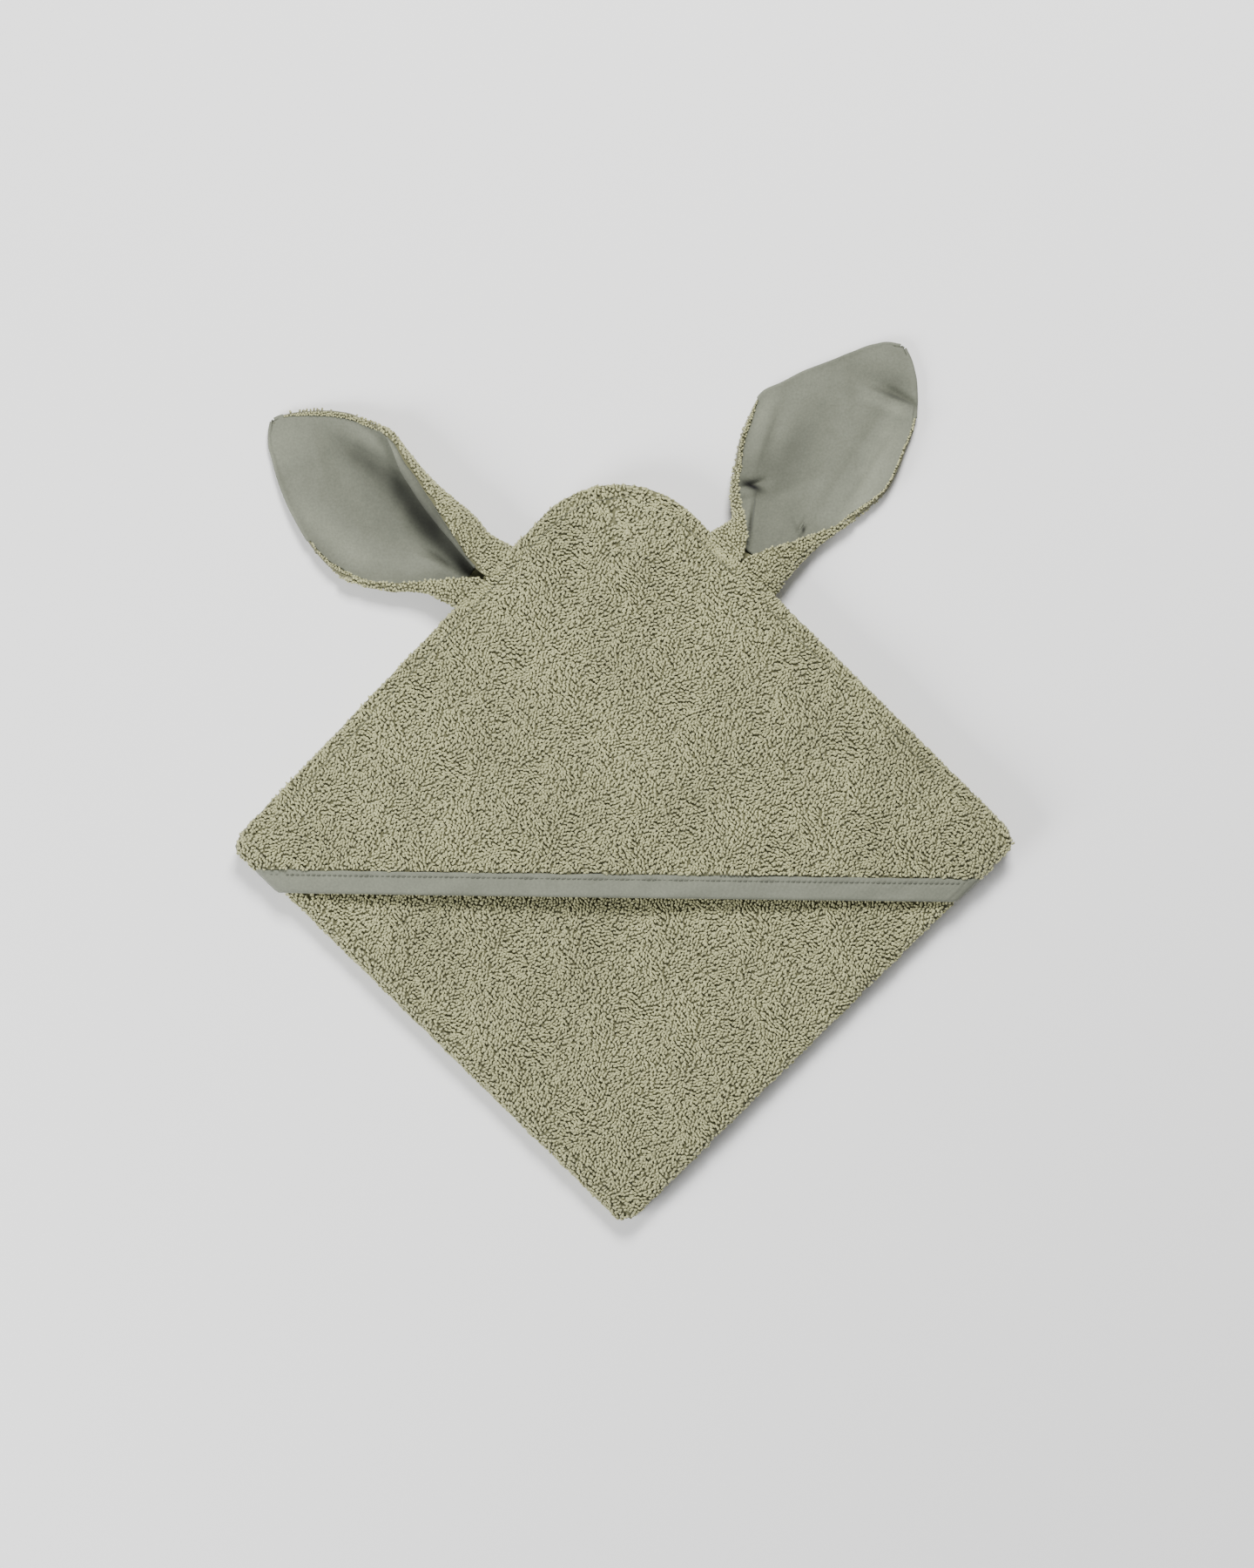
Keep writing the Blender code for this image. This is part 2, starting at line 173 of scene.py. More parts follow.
def longest_sides():
    """The four long straight sides of the folded towel's outline, as corner points in turn."""
    mesh = frame["nodes"]["towel_front_leaf"].data
    hull = hull_of(sorted({(round(v.co.x, 5), round(v.co.y, 5)) for v in mesh.vertices}))
    merged = []
    for a, b in zip(hull, hull[1:] + hull[:1]):
        a, b = np.array(a), np.array(b)
        if merged:
            p, q = merged[-1]
            if unit(q - p) @ unit(b - a) > 0.99995:  # goes on the same way
                merged[-1] = (p, b)
                continue
        merged.append((a, b))
    sides = sorted(merged, key=lambda e: -np.linalg.norm(e[1] - e[0]))[:4]
    sides.sort(key=lambda e: math.atan2(*((e[0] + e[1]) / 2)[::-1]))
    return sides


def crossing(a, b):
    """Where two lines meet, each given by two points."""
    (p, q), (r, s) = a, b
    u, v = q - p, s - r
    share = ((r - p)[0] * v[1] - (r - p)[1] * v[0]) / (u[0] * v[1] - u[1] * v[0])
    return p + u * share


SIDE_FOLD_LEFT, SIDE_FOLD_RIGHT, SIDE_HEM_RIGHT, SIDE_HEM_LEFT = longest_sides()
BOTTOM = crossing(SIDE_FOLD_LEFT, SIDE_FOLD_RIGHT)
RIGHT = crossing(SIDE_FOLD_RIGHT, SIDE_HEM_RIGHT)
TOP = crossing(SIDE_HEM_RIGHT, SIDE_HEM_LEFT)
LEFT = crossing(SIDE_HEM_LEFT, SIDE_FOLD_LEFT)
EDGES = ((LEFT, BOTTOM), (BOTTOM, RIGHT), (RIGHT, TOP), (TOP, LEFT))
SIDE = float(np.mean([np.linalg.norm(q - p) for p, q in EDGES]))
# Each corner's rounding, and whether it lies at the far end of a and of b
ROUNDING = ((0.010, 0, 0), (0.014, 1, 0), (0.074, 1, 1), (0.010, 0, 1))


def plan(a, b):
    """Plan of the folded towel. a runs from the left fold to the right hem, b from the right fold to the
    left hem, both 0 to 1. Corners are rounded."""
    a, b = np.array(a, float), np.array(b, float)
    for radius, far_a, far_b in ROUNDING:
        reach = radius / SIDE
        x = reach - (1 - a if far_a else a)
        y = reach - (1 - b if far_b else b)
        inside = (x > 0) & (y > 0)
        x_in, y_in = np.where(inside, x, 1.0), np.where(inside, y, 1.0)
        scale = np.maximum(x_in, y_in) / np.hypot(x_in, y_in)
        new_a = reach - x_in * scale
        new_b = reach - y_in * scale
        a = np.where(inside, 1 - new_a if far_a else new_a, a)
        b = np.where(inside, 1 - new_b if far_b else new_b, b)
    a, b = a[..., None], b[..., None]
    return (1 - a) * (1 - b) * BOTTOM + a * (1 - b) * RIGHT + a * b * TOP + (1 - a) * b * LEFT


# ---------------------------------------------------------------- mesh and node tools


def points_of(mesh):
    """A mesh's points."""
    points = np.zeros(len(mesh.vertices) * 3, np.float32)
    mesh.vertices.foreach_get("co", points)
    return points.reshape(-1, 3)


def normals_of(grid):
    """Unit normals of a grid of points, rows by columns."""
    return unit(np.cross(np.gradient(grid, axis=1), np.gradient(grid, axis=0)))


def placed(name, data):
    """A new object in the scene."""
    item = bpy.data.objects.new(name, data)
    bpy.context.scene.collection.objects.link(item)
    return item


def mesh_from(name, points, faces):
    """A mesh object from arrays of points and of faces that all have the same number of corners."""
    mesh = bpy.data.meshes.new(name)
    count, corners = faces.shape
    mesh.vertices.add(len(points))
    mesh.vertices.foreach_set("co", np.ascontiguousarray(points, np.float32).ravel())
    mesh.loops.add(count * corners)
    mesh.loops.foreach_set("vertex_index", np.ascontiguousarray(faces, np.int32).ravel())
    mesh.polygons.add(count)
    mesh.polygons.foreach_set("loop_start", np.arange(0, count * corners, corners, dtype=np.int32))
    mesh.update(calc_edges=True)
    mesh.validate()
    mesh.shade_smooth()
    return placed(name, mesh)


def grid_faces(rows, columns):
    """Four-cornered faces of a grid of points."""
    index = np.arange(rows * columns).reshape(rows, columns)
    a, b = index[:-1, :-1], index[:-1, 1:]
    c, d = index[1:, 1:], index[1:, :-1]
    return np.stack([a, b, c, d], -1).reshape(-1, 4)


EDGE_BULGE = 0.5  # of a cloth's edge, in half thicknesses


def closed_cloth(name, outer, thickness):
    """A closed cloth from a grid of outer points: an inner face lies behind it, with a round edge."""
    rows, columns = outer.shape[:2]
    normal = normals_of(outer)
    front, behind = outer.reshape(-1, 3), (outer - normal * thickness).reshape(-1, 3)
    ring = np.concatenate([
        np.arange(columns), np.arange(1, rows) * columns + columns - 1,
        (rows - 1) * columns + np.arange(columns - 2, -1, -1), np.arange(rows - 2, 0, -1) * columns])
    middle = (front[ring] + behind[ring]) / 2
    away = unit(np.cross(np.roll(middle, -1, 0) - np.roll(middle, 1, 0), normal.reshape(-1, 3)[ring]))
    half = np.linalg.norm(front[ring] - behind[ring], axis=1, keepdims=True) / 2
    count = rows * columns
    points = np.concatenate([front, behind, middle - away * half * EDGE_BULGE])
    turn, mid = np.roll(ring, -1), np.arange(len(ring)) + 2 * count
    mid_turn = np.roll(mid, -1)
    faces = [grid_faces(rows, columns), grid_faces(rows, columns)[:, ::-1] + count,
             np.stack([turn, ring, mid, mid_turn], -1),
             np.stack([mid_turn, mid, ring + count, turn + count], -1)]
    return outward(mesh_from(name, points, np.concatenate(faces)))


def outward(item):
    """Merge doubled points and turn every face of a closed piece out."""
    bm = bmesh.new()
    bm.from_mesh(item.data)
    bmesh.ops.remove_doubles(bm, verts=bm.verts, dist=1e-6)
    bmesh.ops.dissolve_degenerate(bm, edges=bm.edges, dist=1e-7)
    bmesh.ops.recalc_face_normals(bm, faces=bm.faces)
    bm.to_mesh(item.data)
    bm.free()
    item.data.shade_smooth()
    return item


def tube_along(points, radius):
    """Points and four-cornered faces of a six-sided tube with closed ends."""
    tangent = unit(np.gradient(points, axis=0))
    side = unit(np.cross(tangent, np.array([0, 0, 1.0])))
    up = np.cross(side, tangent)
    rings = [points + (side * math.cos(a) + up * math.sin(a)) * radius
             for a in (2 * math.pi * k / 6 for k in range(6))]
    corner = np.arange(6)
    following = (corner + 1) % 6
    band = np.stack([corner, following, following + 6, corner + 6], -1)
    last = (len(points) - 1) * 6
    walls = band[None] + (np.arange(len(points) - 1) * 6)[:, None, None]
    ends = np.array([(0, 5, 4, 3), (0, 3, 2, 1)]), np.array([(0, 1, 2, 3), (0, 3, 4, 5)]) + last
    return np.stack(rings, 1).reshape(-1, 3), np.concatenate([walls.reshape(-1, 4), *ends])


def node(tree, kind, inputs=(), **values):
    """A new node with its values set. An input is given as a value, or as the socket that feeds it."""
    made = tree.nodes.new(kind)
    for key, value in values.items():
        setattr(made, key, value)
    for key, value in dict(inputs).items():
        if isinstance(value, bpy.types.NodeSocket):
            tree.links.new(value, made.inputs[key])
        else:
            made.inputs[key].default_value = value
    return made


def new_group(name, kind, sockets):
    """A node group with its input and output nodes. A socket: label, INPUT or OUTPUT, type, any value."""
    tree = bpy.data.node_groups.new(name, kind)
    for label, way, socket, *value in sockets:
        made = tree.interface.new_socket(label, in_out=way, socket_type="NodeSocket" + socket)
        if value:
            made.default_value = value[0]
    return tree, node(tree, "NodeGroupInput"), node(tree, "NodeGroupOutput")


# ---------------------------------------------------------------- places for loops


def scatter_tree(gap, seed):
    """A node tree that spreads points over faces no nearer to each other than gap."""
    tree, given, made = new_group("loop_places", "GeometryNodeTree", (
        ("Geometry", "INPUT", "Geometry"), ("Geometry", "OUTPUT", "Geometry")))
    spread = node(tree, "GeometryNodeDistributePointsOnFaces", {
        "Mesh": given.outputs[0], "Distance Min": gap, "Density Max": 3.0 / gap ** 2, "Seed": seed},
        distribute_method="POISSON")
    keep = node(tree, "GeometryNodeStoreNamedAttribute", {
        "Geometry": spread.outputs["Points"], "Name": "out", "Value": spread.outputs["Normal"]},
        data_type="FLOAT_VECTOR", domain="POINT")
    points = node(tree, "GeometryNodePointsToVertices", {"Points": keep.outputs["Geometry"]})
    tree.links.new(points.outputs[0], made.inputs[0])
    return tree


def places_on(grid, gap, seed, keep=None):
    """Evenly spread points on a grid of points, and the way out of the cloth at each."""
    faces = grid_faces(*grid.shape[:2])
    if keep is not None:
        faces = faces[keep(grid.reshape(-1, 3)[faces].mean(1))]
    skin = mesh_from("skin", grid.reshape(-1, 3), faces)
    tree = scatter_tree(gap, seed)
    skin.modifiers.new("places", "NODES").node_group = tree
    made = skin.evaluated_get(bpy.context.evaluated_depsgraph_get()).to_mesh()
    points = points_of(made).astype(float)
    out = np.zeros(len(points) * 3, np.float32)
    made.attributes["out"].data.foreach_get("vector", out)
    mesh = skin.data
    bpy.data.objects.remove(skin)
    bpy.data.meshes.remove(mesh)
    bpy.data.node_groups.remove(tree)
    return points, out.reshape(-1, 3).astype(float)


# Steps between loops along and across the rows, shift of every second row and unevenness, in loop gaps
ALONG_STEP, ACROSS_STEP, ROW_SHIFT, UNEVEN = 0.93, 1.05, 0.52, 0.15
LEAST_ROOM = 0.92  # squeezed to less than this, a cloth loses loops


def woven(low, high, gap, seed):
    """Places in rows like a weave, each shifted a little, in a rectangle from low to high."""
    rng = np.random.default_rng(seed)
    u = np.arange(low[0], high[0], gap * ALONG_STEP)
    w = np.arange(low[1], high[1], gap * ACROSS_STEP)
    uu, ww = np.meshgrid(u, w, indexing="ij")
    ww = ww + gap * ROW_SHIFT * (np.arange(len(u)) % 2)[:, None]
    uneven = rng.normal(0, gap * UNEVEN, (2, *uu.shape))
    uu, ww = uu + uneven[0], ww + uneven[1]
    keep = (uu > low[0]) & (uu < high[0]) & (ww > low[1]) & (ww < high[1])
    return uu[keep], ww[keep]


def facing(surface, u, w, step=0.0003):
    """Points of a surface at (u, w), the way out there, upwards on top, and how far it is stretched."""
    along = surface(u + step, w) - surface(u - step, w)
    normal = np.cross(along, surface(u, w + step) - surface(u, w - step))
    return surface(u, w), unit(normal), np.linalg.norm(normal, axis=-1) / (2 * step) ** 2


def roomy(stretch, seed):
    """Picks points so that they stay as far apart where their surface is squeezed."""
    return np.random.default_rng(seed).uniform(0, LEAST_ROOM, len(stretch)) < stretch


# ---------------------------------------------------------------- loops

# Corners of a loop's tube, and its rings from root to bend: share of reach, of height, of bend, of width
LOOP_KINDS = {
    "fine": (4, ((-0.05, -0.15, 0.0, 0.70), (0.22, 0.72, 0.12, 1.06), (0.72, 0.84, 0.62, 0.95))),
    "plain": (3, ((-0.05, -0.15, 0.0, 0.80), (0.50, 0.85, 0.35, 1.05))),
}
LOOP_TIP = (1.12, 0.30, 1.0)
LOOP_HEIGHT = 0.0019
FULLNESS, FLATNESS = 1.15, 0.9  # of a tube with few corners against a round one
PIECE_TRIS = 185000
NAP = 0.95  # direction in which the loops lean on the whole, radians
SWIRL = 0.020  # how far apart loops lean differently
DRIFT, FINE_DRIFT, OWN_DRIFT = 0.7, 0.4, 0.38  # of the lean: over a wide patch, a small one, by loop
BENDING = 0.22  # sideways, in shares of reach


def leaning(points, out, rng, aim):
    """The way each loop leans along the cloth: with the nap, or mostly where aim points."""
    x, y, z = points.T
    heading = DRIFT * ripples(x + 0.3 * z, y + 0.2 * z, SWIRL * 2, 31)
    heading = heading + FINE_DRIFT * ripples(x, y, SWIRL * 0.7, 57)
    heading += NAP + rng.normal(0, OWN_DRIFT, len(points))
    lean = np.stack([np.cos(heading), np.sin(heading), 0.35 * np.sin(heading * 2)], -1)
    if aim is not None:
        lean = aim + 0.5 * lean
    return unit(lean - out * np.sum(lean * out, -1, keepdims=True))


def loop_faces(corners, rings):
    """Triangles of one loop, by the order of its points."""
    faces = []
    for k in range(rings - 1):
        for j in range(corners):
            a, b = k * corners + j, k * corners + (j + 1) % corners
            faces += [(a, a + corners, b + corners), (a, b + corners, b)]
    last, tip = (rings - 1) * corners, rings * corners
    faces += [(last + j, tip, last + (j + 1) % corners) for j in range(corners)]
    return np.array(faces + [(0, j, j + 1) for j in range(1, corners - 1)])


def loops_at(name, points, out, seed, reach, width, height, kind, aim):
    """Terry loops as bent, tapered tubes that grow at the points and lean over in drifting directions."""
    rng = np.random.default_rng(seed)
    count = len(points)
    lean = leaning(points, out, rng, aim)
    side = np.cross(out, lean)
    clump = ripples(points[:, 0], points[:, 1] + 0.5 * points[:, 2], SWIRL * 0.5, 83)
    tall = height * rng.uniform(0.80, 1.15, count) * (1 + 0.18 * clump)
    far = reach * rng.uniform(0.80, 1.20, count)
    thick = width / 2 * rng.uniform(0.88, 1.12, count)
    bend = rng.normal(0, BENDING, count) * reach
    corners, rings = LOOP_KINDS[kind]
    centres = [points + lean * (far * share[0])[:, None] + out * (tall * share[1])[:, None]
               + side * (bend * share[2])[:, None] for share in (*rings, LOOP_TIP)]
    verts, high = [], []
    for k, ring in enumerate(rings):
        along = unit(centres[k + 1] - centres[max(k - 1, 0)])
        flat = unit(np.cross(along, side))
        across = np.cross(flat, along)
        for j in range(corners):
            angle = 2 * math.pi * (j + 0.5) / corners
            verts.append(centres[k] + (across * math.cos(angle) + flat * FLATNESS * math.sin(angle))
                         * (thick * ring[3] * FULLNESS)[:, None])
            high.append(k / len(rings))
    verts.append(centres[-1])
    high.append(1.0)
    per = len(verts)
    faces = loop_faces(corners, len(rings))[None] + (np.arange(count) * per)[:, None, None]
    item = mesh_from(name, np.stack(verts, 1).reshape(-1, 3), faces.reshape(-1, 3))
    # yarn holds a random tone for each loop in red, in green the way along the loop that its painted shade
    # follows, and the clump in blue
    data = np.ones((count * per, 4), np.float32)
    data[:, 0] = np.repeat(rng.uniform(0, 1, count), per)
    data[:, 1] = np.tile(high, count)
    data[:, 2] = np.repeat(np.clip(0.5 + 0.5 * clump, 0, 1), per)
    item.data.attributes.new("yarn", "FLOAT_COLOR", "POINT").data.foreach_set("color", data.ravel())
    return item


def pile(name, points, out, seed, carry, reach=1.0, width=1.0, height=LOOP_HEIGHT, kind="fine", aim=None):
    """Loops at the points, in as many pieces as keep each one light; carry joins each to its body or bakes
    its placement.
    """
    s = sizes()
    corners, rings = LOOP_KINDS[kind]
    pieces = max(1, math.ceil(len(points) * len(rings) * corners * 2 / PIECE_TRIS))
    order = np.argsort(points[:, 0] + 0.37 * points[:, 1], kind="stable")
    made = []
    for k, part in enumerate(np.array_split(order, pieces)):
        label = f"{name}_{k + 1}" if pieces > 1 else name
        item = loops_at(label, points[part], out[part], seed + k, s.loop_reach * reach, s.loop_width * width,
                        height, kind, aim if aim is None else aim[part])
        dress(item, "terry_loops")
        stand_on_table(item)
        carry(item)
        made.append(item)
    return made


TABLE_CLEAR = 0.0002


def stand_on_table(item):
    """Flatten loops that would go through the table."""
    points = points_of(item.data)
    low = points[:, 2] < TABLE_CLEAR
    if low.any():
        points[low, 2] = TABLE_CLEAR + (points[low, 2] - TABLE_CLEAR) * 0.02
        item.data.vertices.foreach_set("co", points.ravel())
        item.data.update()


# ---------------------------------------------------------------- materials

TERRY_LOOK = {"Roughness": 0.95, "Specular IOR Level": 0.2, "Sheen Weight": 0.25, "Sheen Roughness": 0.6}
COTTON_LOOK = {"Roughness": 0.85, "Specular IOR Level": 0.25, "Sheen Weight": 0.15}
THREAD_LOOK = {"Roughness": 0.6, "Sheen Weight": 0.2}
LABEL_COLOUR = (0.80, 0.80, 0.77)
THREAD_PITCH = 0.00055
# Painted light and shade along a loop: dark at its root, light over its bend, darker again where it dips at
# its end
YARN_PAINTED_SHADE = ((0.0, 0.28), (0.34, 0.96), (0.62, 1.14), (1.0, 0.50))
MIDDLING, WIDER = (0.3, 0.7), (0.2, 0.8)  # stretches of noise that tones are spread over


def new_material(name, look):
    """A material's node tree and its shader with its plain values set."""
    material = bpy.data.materials.new(name)
    material.use_nodes = True
    shader = material.node_tree.nodes["Principled BSDF"]
    for key, value in look.items():
        shader.inputs[key].default_value = value
    return material.node_tree, shader


def ramp(tree, source, low, high, stretch=(0.0, 1.0)):
    """A varying value spread from low to high."""
    return node(tree, "ShaderNodeMapRange", {
        "Value": source, "From Min": stretch[0], "From Max": stretch[1], "To Min": low, "To Max": high,
    }).outputs["Result"]


def multiply(tree, product, *others):
    """Varying values multiplied."""
    for other in others:
        product = node(tree, "ShaderNodeMath", {0: product, 1: other}, operation="MULTIPLY").outputs[0]
    return product


def tint(tree, shader, colour, strength):
    """Gives a shader a colour times a varying strength."""
    grey = node(tree, "ShaderNodeCombineColor", {channel: strength for channel in ("Red", "Green", "Blue")})
    mixed = node(tree, "ShaderNodeMix", {"Factor": 1.0, "A": (*colour, 1), "B": grey.outputs[0]},
                 data_type="RGBA", blend_type="MULTIPLY")
    tree.links.new(mixed.outputs["Result"], shader.inputs["Base Color"])


def relief(tree, shader, height, strength, distance):
    """Gives a shader a fine relief."""
    bump = node(tree, "ShaderNodeBump", {"Height": height, "Strength": strength, "Distance": distance})
    tree.links.new(bump.outputs["Normal"], shader.inputs["Normal"])


def cloth_variation():
    """A group that gives slow tone changes and fine fuzz over a cloth, on Object coordinates."""
    tree, given, made = new_group("cloth_variation", "ShaderNodeTree", (
        ("Patch scale", "INPUT", "Float", 18.0), ("Fuzz scale", "INPUT", "Float", 900.0),
        ("Patch", "OUTPUT", "Float"), ("Fuzz", "OUTPUT", "Float")))
    place = node(tree, "ShaderNodeTexCoord")
    for name, detail in (("Patch", 3.0), ("Fuzz", 2.0)):
        noise = node(tree, "ShaderNodeTexNoise", {
            "Vector": place.outputs["Object"], "Scale": given.outputs[name + " scale"], "Detail": detail})
        tree.links.new(noise.outputs["Fac"], made.inputs[name])
    return tree


def varied(tree, variation, patch, fuzz):
    """The cloth variation's two tones, at the scales given."""
    made = node(tree, "ShaderNodeGroup", {"Patch scale": patch, "Fuzz scale": fuzz}, node_tree=variation)
    return made.outputs["Patch"], made.outputs["Fuzz"]


def yarn_shade(tree, along):
    """A loop's painted light and shade by the way from its root to its end."""
    made = node(tree, "ShaderNodeValToRGB", {"Fac": along})
    stops = made.color_ramp.elements
    for place, _ in YARN_PAINTED_SHADE[1:-1]:
        stops.new(place)
    for stop, (_, value) in zip(stops, YARN_PAINTED_SHADE):
        stop.color = (value, value, value, 1)
    return made.outputs["Color"]


def terry_material(name, colour, variation, loops):
    """Terry's loops, each in its own tone with painted shade along it, or its ground cloth, darkened as
    painted shade between the loops.
    """
    tree, shader = new_material(name, TERRY_LOOK)
    patch, fuzz = varied(tree, variation, 22.0, 1400.0)
    # For the ground cloth the low strength is painted shade, where the loops cover it
    strength = ramp(tree, patch, *((0.90, 1.10) if loops else (0.34, 0.42)), MIDDLING)
    if loops:
        yarn = node(tree, "ShaderNodeVertexColor", layer_name="yarn")
        parts = node(tree, "ShaderNodeSeparateColor", {"Color": yarn.outputs["Color"]})
        # Each loop's random tone, times painted shade that is dark at its root and tip and light over its
        # bend
        strength = multiply(tree, strength, ramp(tree, parts.outputs["Red"], 0.86, 1.12),
                            yarn_shade(tree, parts.outputs["Green"]))
    tint(tree, shader, colour, strength)
    relief(tree, shader, fuzz, 0.45, 0.0004)


def cotton_weave(variation):
    """Fine plain weave as a group: threads cross as two sets of waves, with slubs and slow tone changes."""
    tree, given, made = new_group("cotton_weave", "ShaderNodeTree", (
        ("Colour", "INPUT", "Color"), ("Turn", "INPUT", "Vector"), ("Tone", "INPUT", "Float", 1.0),
        ("Colour", "OUTPUT", "Color"), ("Weave", "OUTPUT", "Float")))
    patch, fuzz = varied(tree, variation, 26.0, 620.0)
    place = node(tree, "ShaderNodeTexCoord")
    turned = node(tree, "ShaderNodeMapping", {
        "Vector": place.outputs["Object"], "Rotation": given.outputs["Turn"]})
    waves = [node(tree, "ShaderNodeTexWave", {
        "Vector": turned.outputs["Vector"], "Scale": 2 * math.pi / (20 * THREAD_PITCH), "Distortion": 1.2,
        "Detail": 1.0, "Detail Scale": 1.5}, bands_direction=way).outputs["Fac"] for way in ("X", "Y")]
    weave = multiply(tree, *waves)
    # A lining's painted shade and light come in through the group's last input
    strength = multiply(tree, ramp(tree, patch, 0.93, 1.07, MIDDLING), ramp(tree, fuzz, 0.86, 1.13, WIDER),
                        ramp(tree, weave, 0.92, 1.08), given.outputs["Tone"])
    tinted = node(tree, "ShaderNodeVectorMath", {0: given.outputs["Colour"], "Scale": strength},
                  operation="SCALE")
    tree.links.new(tinted.outputs[0], made.inputs["Colour"])
    tree.links.new(weave, made.inputs["Weave"])
    return tree


def cotton_material(name, colour, weave, turn, shaded=False):
    """Plain woven cotton whose threads run at an angle; a lining also gets its stored painted shade and
    light, with slow random tone changes.
    """
    tree, shader = new_material(name, COTTON_LOOK)
    inputs = {"Colour": (*colour, 1), "Turn": (0, 0, math.radians(turn))}
    if shaded:
        # The tone attribute holds painted shade and light, with slow random tone changes
        inputs["Tone"] = node(tree, "ShaderNodeAttribute", attribute_name="tone").outputs["Fac"]
    cloth = node(tree, "ShaderNodeGroup", inputs, node_tree=weave)
    tree.links.new(cloth.outputs["Colour"], shader.inputs["Base Color"])
    relief(tree, shader, cloth.outputs["Weave"], 0.30, 0.00012)


def thread_material(name, colour, variation):
    """Twisted sewing thread."""
    tree, shader = new_material(name, THREAD_LOOK)
    patch, fuzz = varied(tree, variation, 160.0, 2600.0)
    tint(tree, shader, colour, multiply(
        tree, ramp(tree, patch, 0.9, 1.1, MIDDLING), ramp(tree, fuzz, 0.75, 1.2, WIDER)))


def finishes():
    """The towel's materials, made once."""
    if "terry_loops" not in bpy.data.materials:
        variation = cloth_variation()
        s = sizes()
        terry_material("terry_loops", s.terry, variation, loops=True)
        terry_material("terry_ground", s.terry, variation, loops=False)
        weave = cotton_weave(variation)
        cotton_material("lining_cotton_left", s.cotton, weave, 144, shaded=True)
        cotton_material("lining_cotton_right", s.cotton, weave, 54, shaded=True)
        cotton_material("binding_cotton", s.cotton, weave, 43)
        thread_material("sewing_thread", s.thread, variation)
        cotton_material("label_satin", LABEL_COLOUR, weave, 0)
    return bpy.data.materials


def dress(item, material):
    """Gives a piece its material."""
    item.data.materials.clear()
    item.data.materials.append(finishes()[material])


def put(item, material, slot, carry, *replaced):
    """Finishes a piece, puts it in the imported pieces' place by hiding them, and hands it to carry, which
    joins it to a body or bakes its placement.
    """
    dress(item, material)
    if replaced:
        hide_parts(*replaced)
    carry(item)


# ---------------------------------------------------------------- towel

HEM_IN = 0.0016  # ground cloth's edge, in from the loops' tips at a hem
TERRY_DEPTH = 0.0013  # ground cloth's face below the loops' tips
INNER_DEPTH = 0.0012  # the same on the faces hidden by the folds
INNER_NOSE = 0.0045  # from the outer wrap's nose to the inner one's
INNER_LOOPS = 0.0012  # height of the pressed loops between the layers
RIM_BAND = 0.012  # along the edges, where inner loops stand as close as outer ones
POCKET_SEEN = 0.035  # how far into the hood's mouth the towel has its loops
BACK_GAP = 1.25  # loop spacing on the side on the table, against the front's
QUARTER = math.pi / 2


def roll(distance, radius):
    """Inset and rise of a point that lies this far round a half round fold of that radius."""
    angle = np.clip(distance / radius, 0, QUARTER)
    inset = radius * (1 - np.cos(angle)) + np.maximum(distance - radius * QUARTER, 0)
    return inset, np.sin(angle)


def way_round(radius, depth):
    """Way from a fold's nose round it and on to the hem."""
    return SIDE - HEM_IN - depth + radius * (QUARTER - 1)


def fold_spacing(radius, depth, fine, coarse):
    """Distances from a fold's nose, close together round it and wide apart beyond."""
    bend = radius * QUARTER * 1.15
    beyond = np.linspace(bend, way_round(radius, depth), coarse + 1)
    return np.concatenate([np.linspace(0, bend, fine), beyond[1:]])


def wrap_grid(across_left, across_right, point):
    """A wrap's points, rows on both sides of the left fold's nose, columns in from the right fold's."""
    v = np.concatenate([-across_left[:0:-1], across_left])
    return point(*np.meshgrid(v, across_right, indexing="ij"))


def outer_wrap_point(v, w):
    """A point of the outer wrap. v is the way round the left fold from its nose, above 0 on the front
    leaf; w is the way in from the right fold's nose."""
    radius, small = HALF_STACK - TERRY_DEPTH, HALF_LEAF - TERRY_DEPTH
    n, rise = roll(np.abs(v), radius)
    m, rise_right = roll(w, small)
    at = plan((n + TERRY_DEPTH) / SIDE, (m + TERRY_DEPTH) / SIDE)
    z = MIDDLE + np.sign(v) * (radius - small * (1 - rise_right)) * rise
    return np.concatenate([at, z[..., None]], -1)


def inner_wrap_point(v, w):
    """A point of the inner wrap's face that shows when the towel is opened, by the same ways."""
    radius, small = FRONT_LOW - MIDDLE + TERRY_DEPTH, HALF_LEAF - INNER_DEPTH
    nose = HALF_STACK - INNER_NOSE
    n, rise = roll(np.abs(v), radius)
    m, rise_right = roll(w, small)
    at = plan((n + nose) / SIDE, (m + INNER_DEPTH) / SIDE)
    z = MIDDLE + np.sign(v) * (radius * rise + small * (1 - rise_right) * np.minimum(rise, 1))
    return np.concatenate([at, z[..., None]], -1)


def outer_swell(points):
    """Slow rise and fall of the front leaf's cloth."""
    x, y, z = np.moveaxis(points, -1, 0)
    return 0.0007 * ripples(x, y, 0.11, 5) * smooth((z - MIDDLE) / HALF_STACK)


def carry_to(body):
    """Joins a piece to a body, or without one bakes its placement into its points."""
    if body:
        return lambda item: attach(item, body)
    return lambda item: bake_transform(item)


def near_edges(middles):
    """Faces close to the folded towel's outline."""
    return np.min([(middles[:, :2] - p) @ inward(p, q) for p, q in EDGES], axis=0) < RIM_BAND


def not_under_hood(points):
    """Points that the hood leaves bare, and a strip just inside its mouth."""
    return (above_mouth(points) < POCKET_SEEN) | (points[:, 2] < FRONT_LOW)


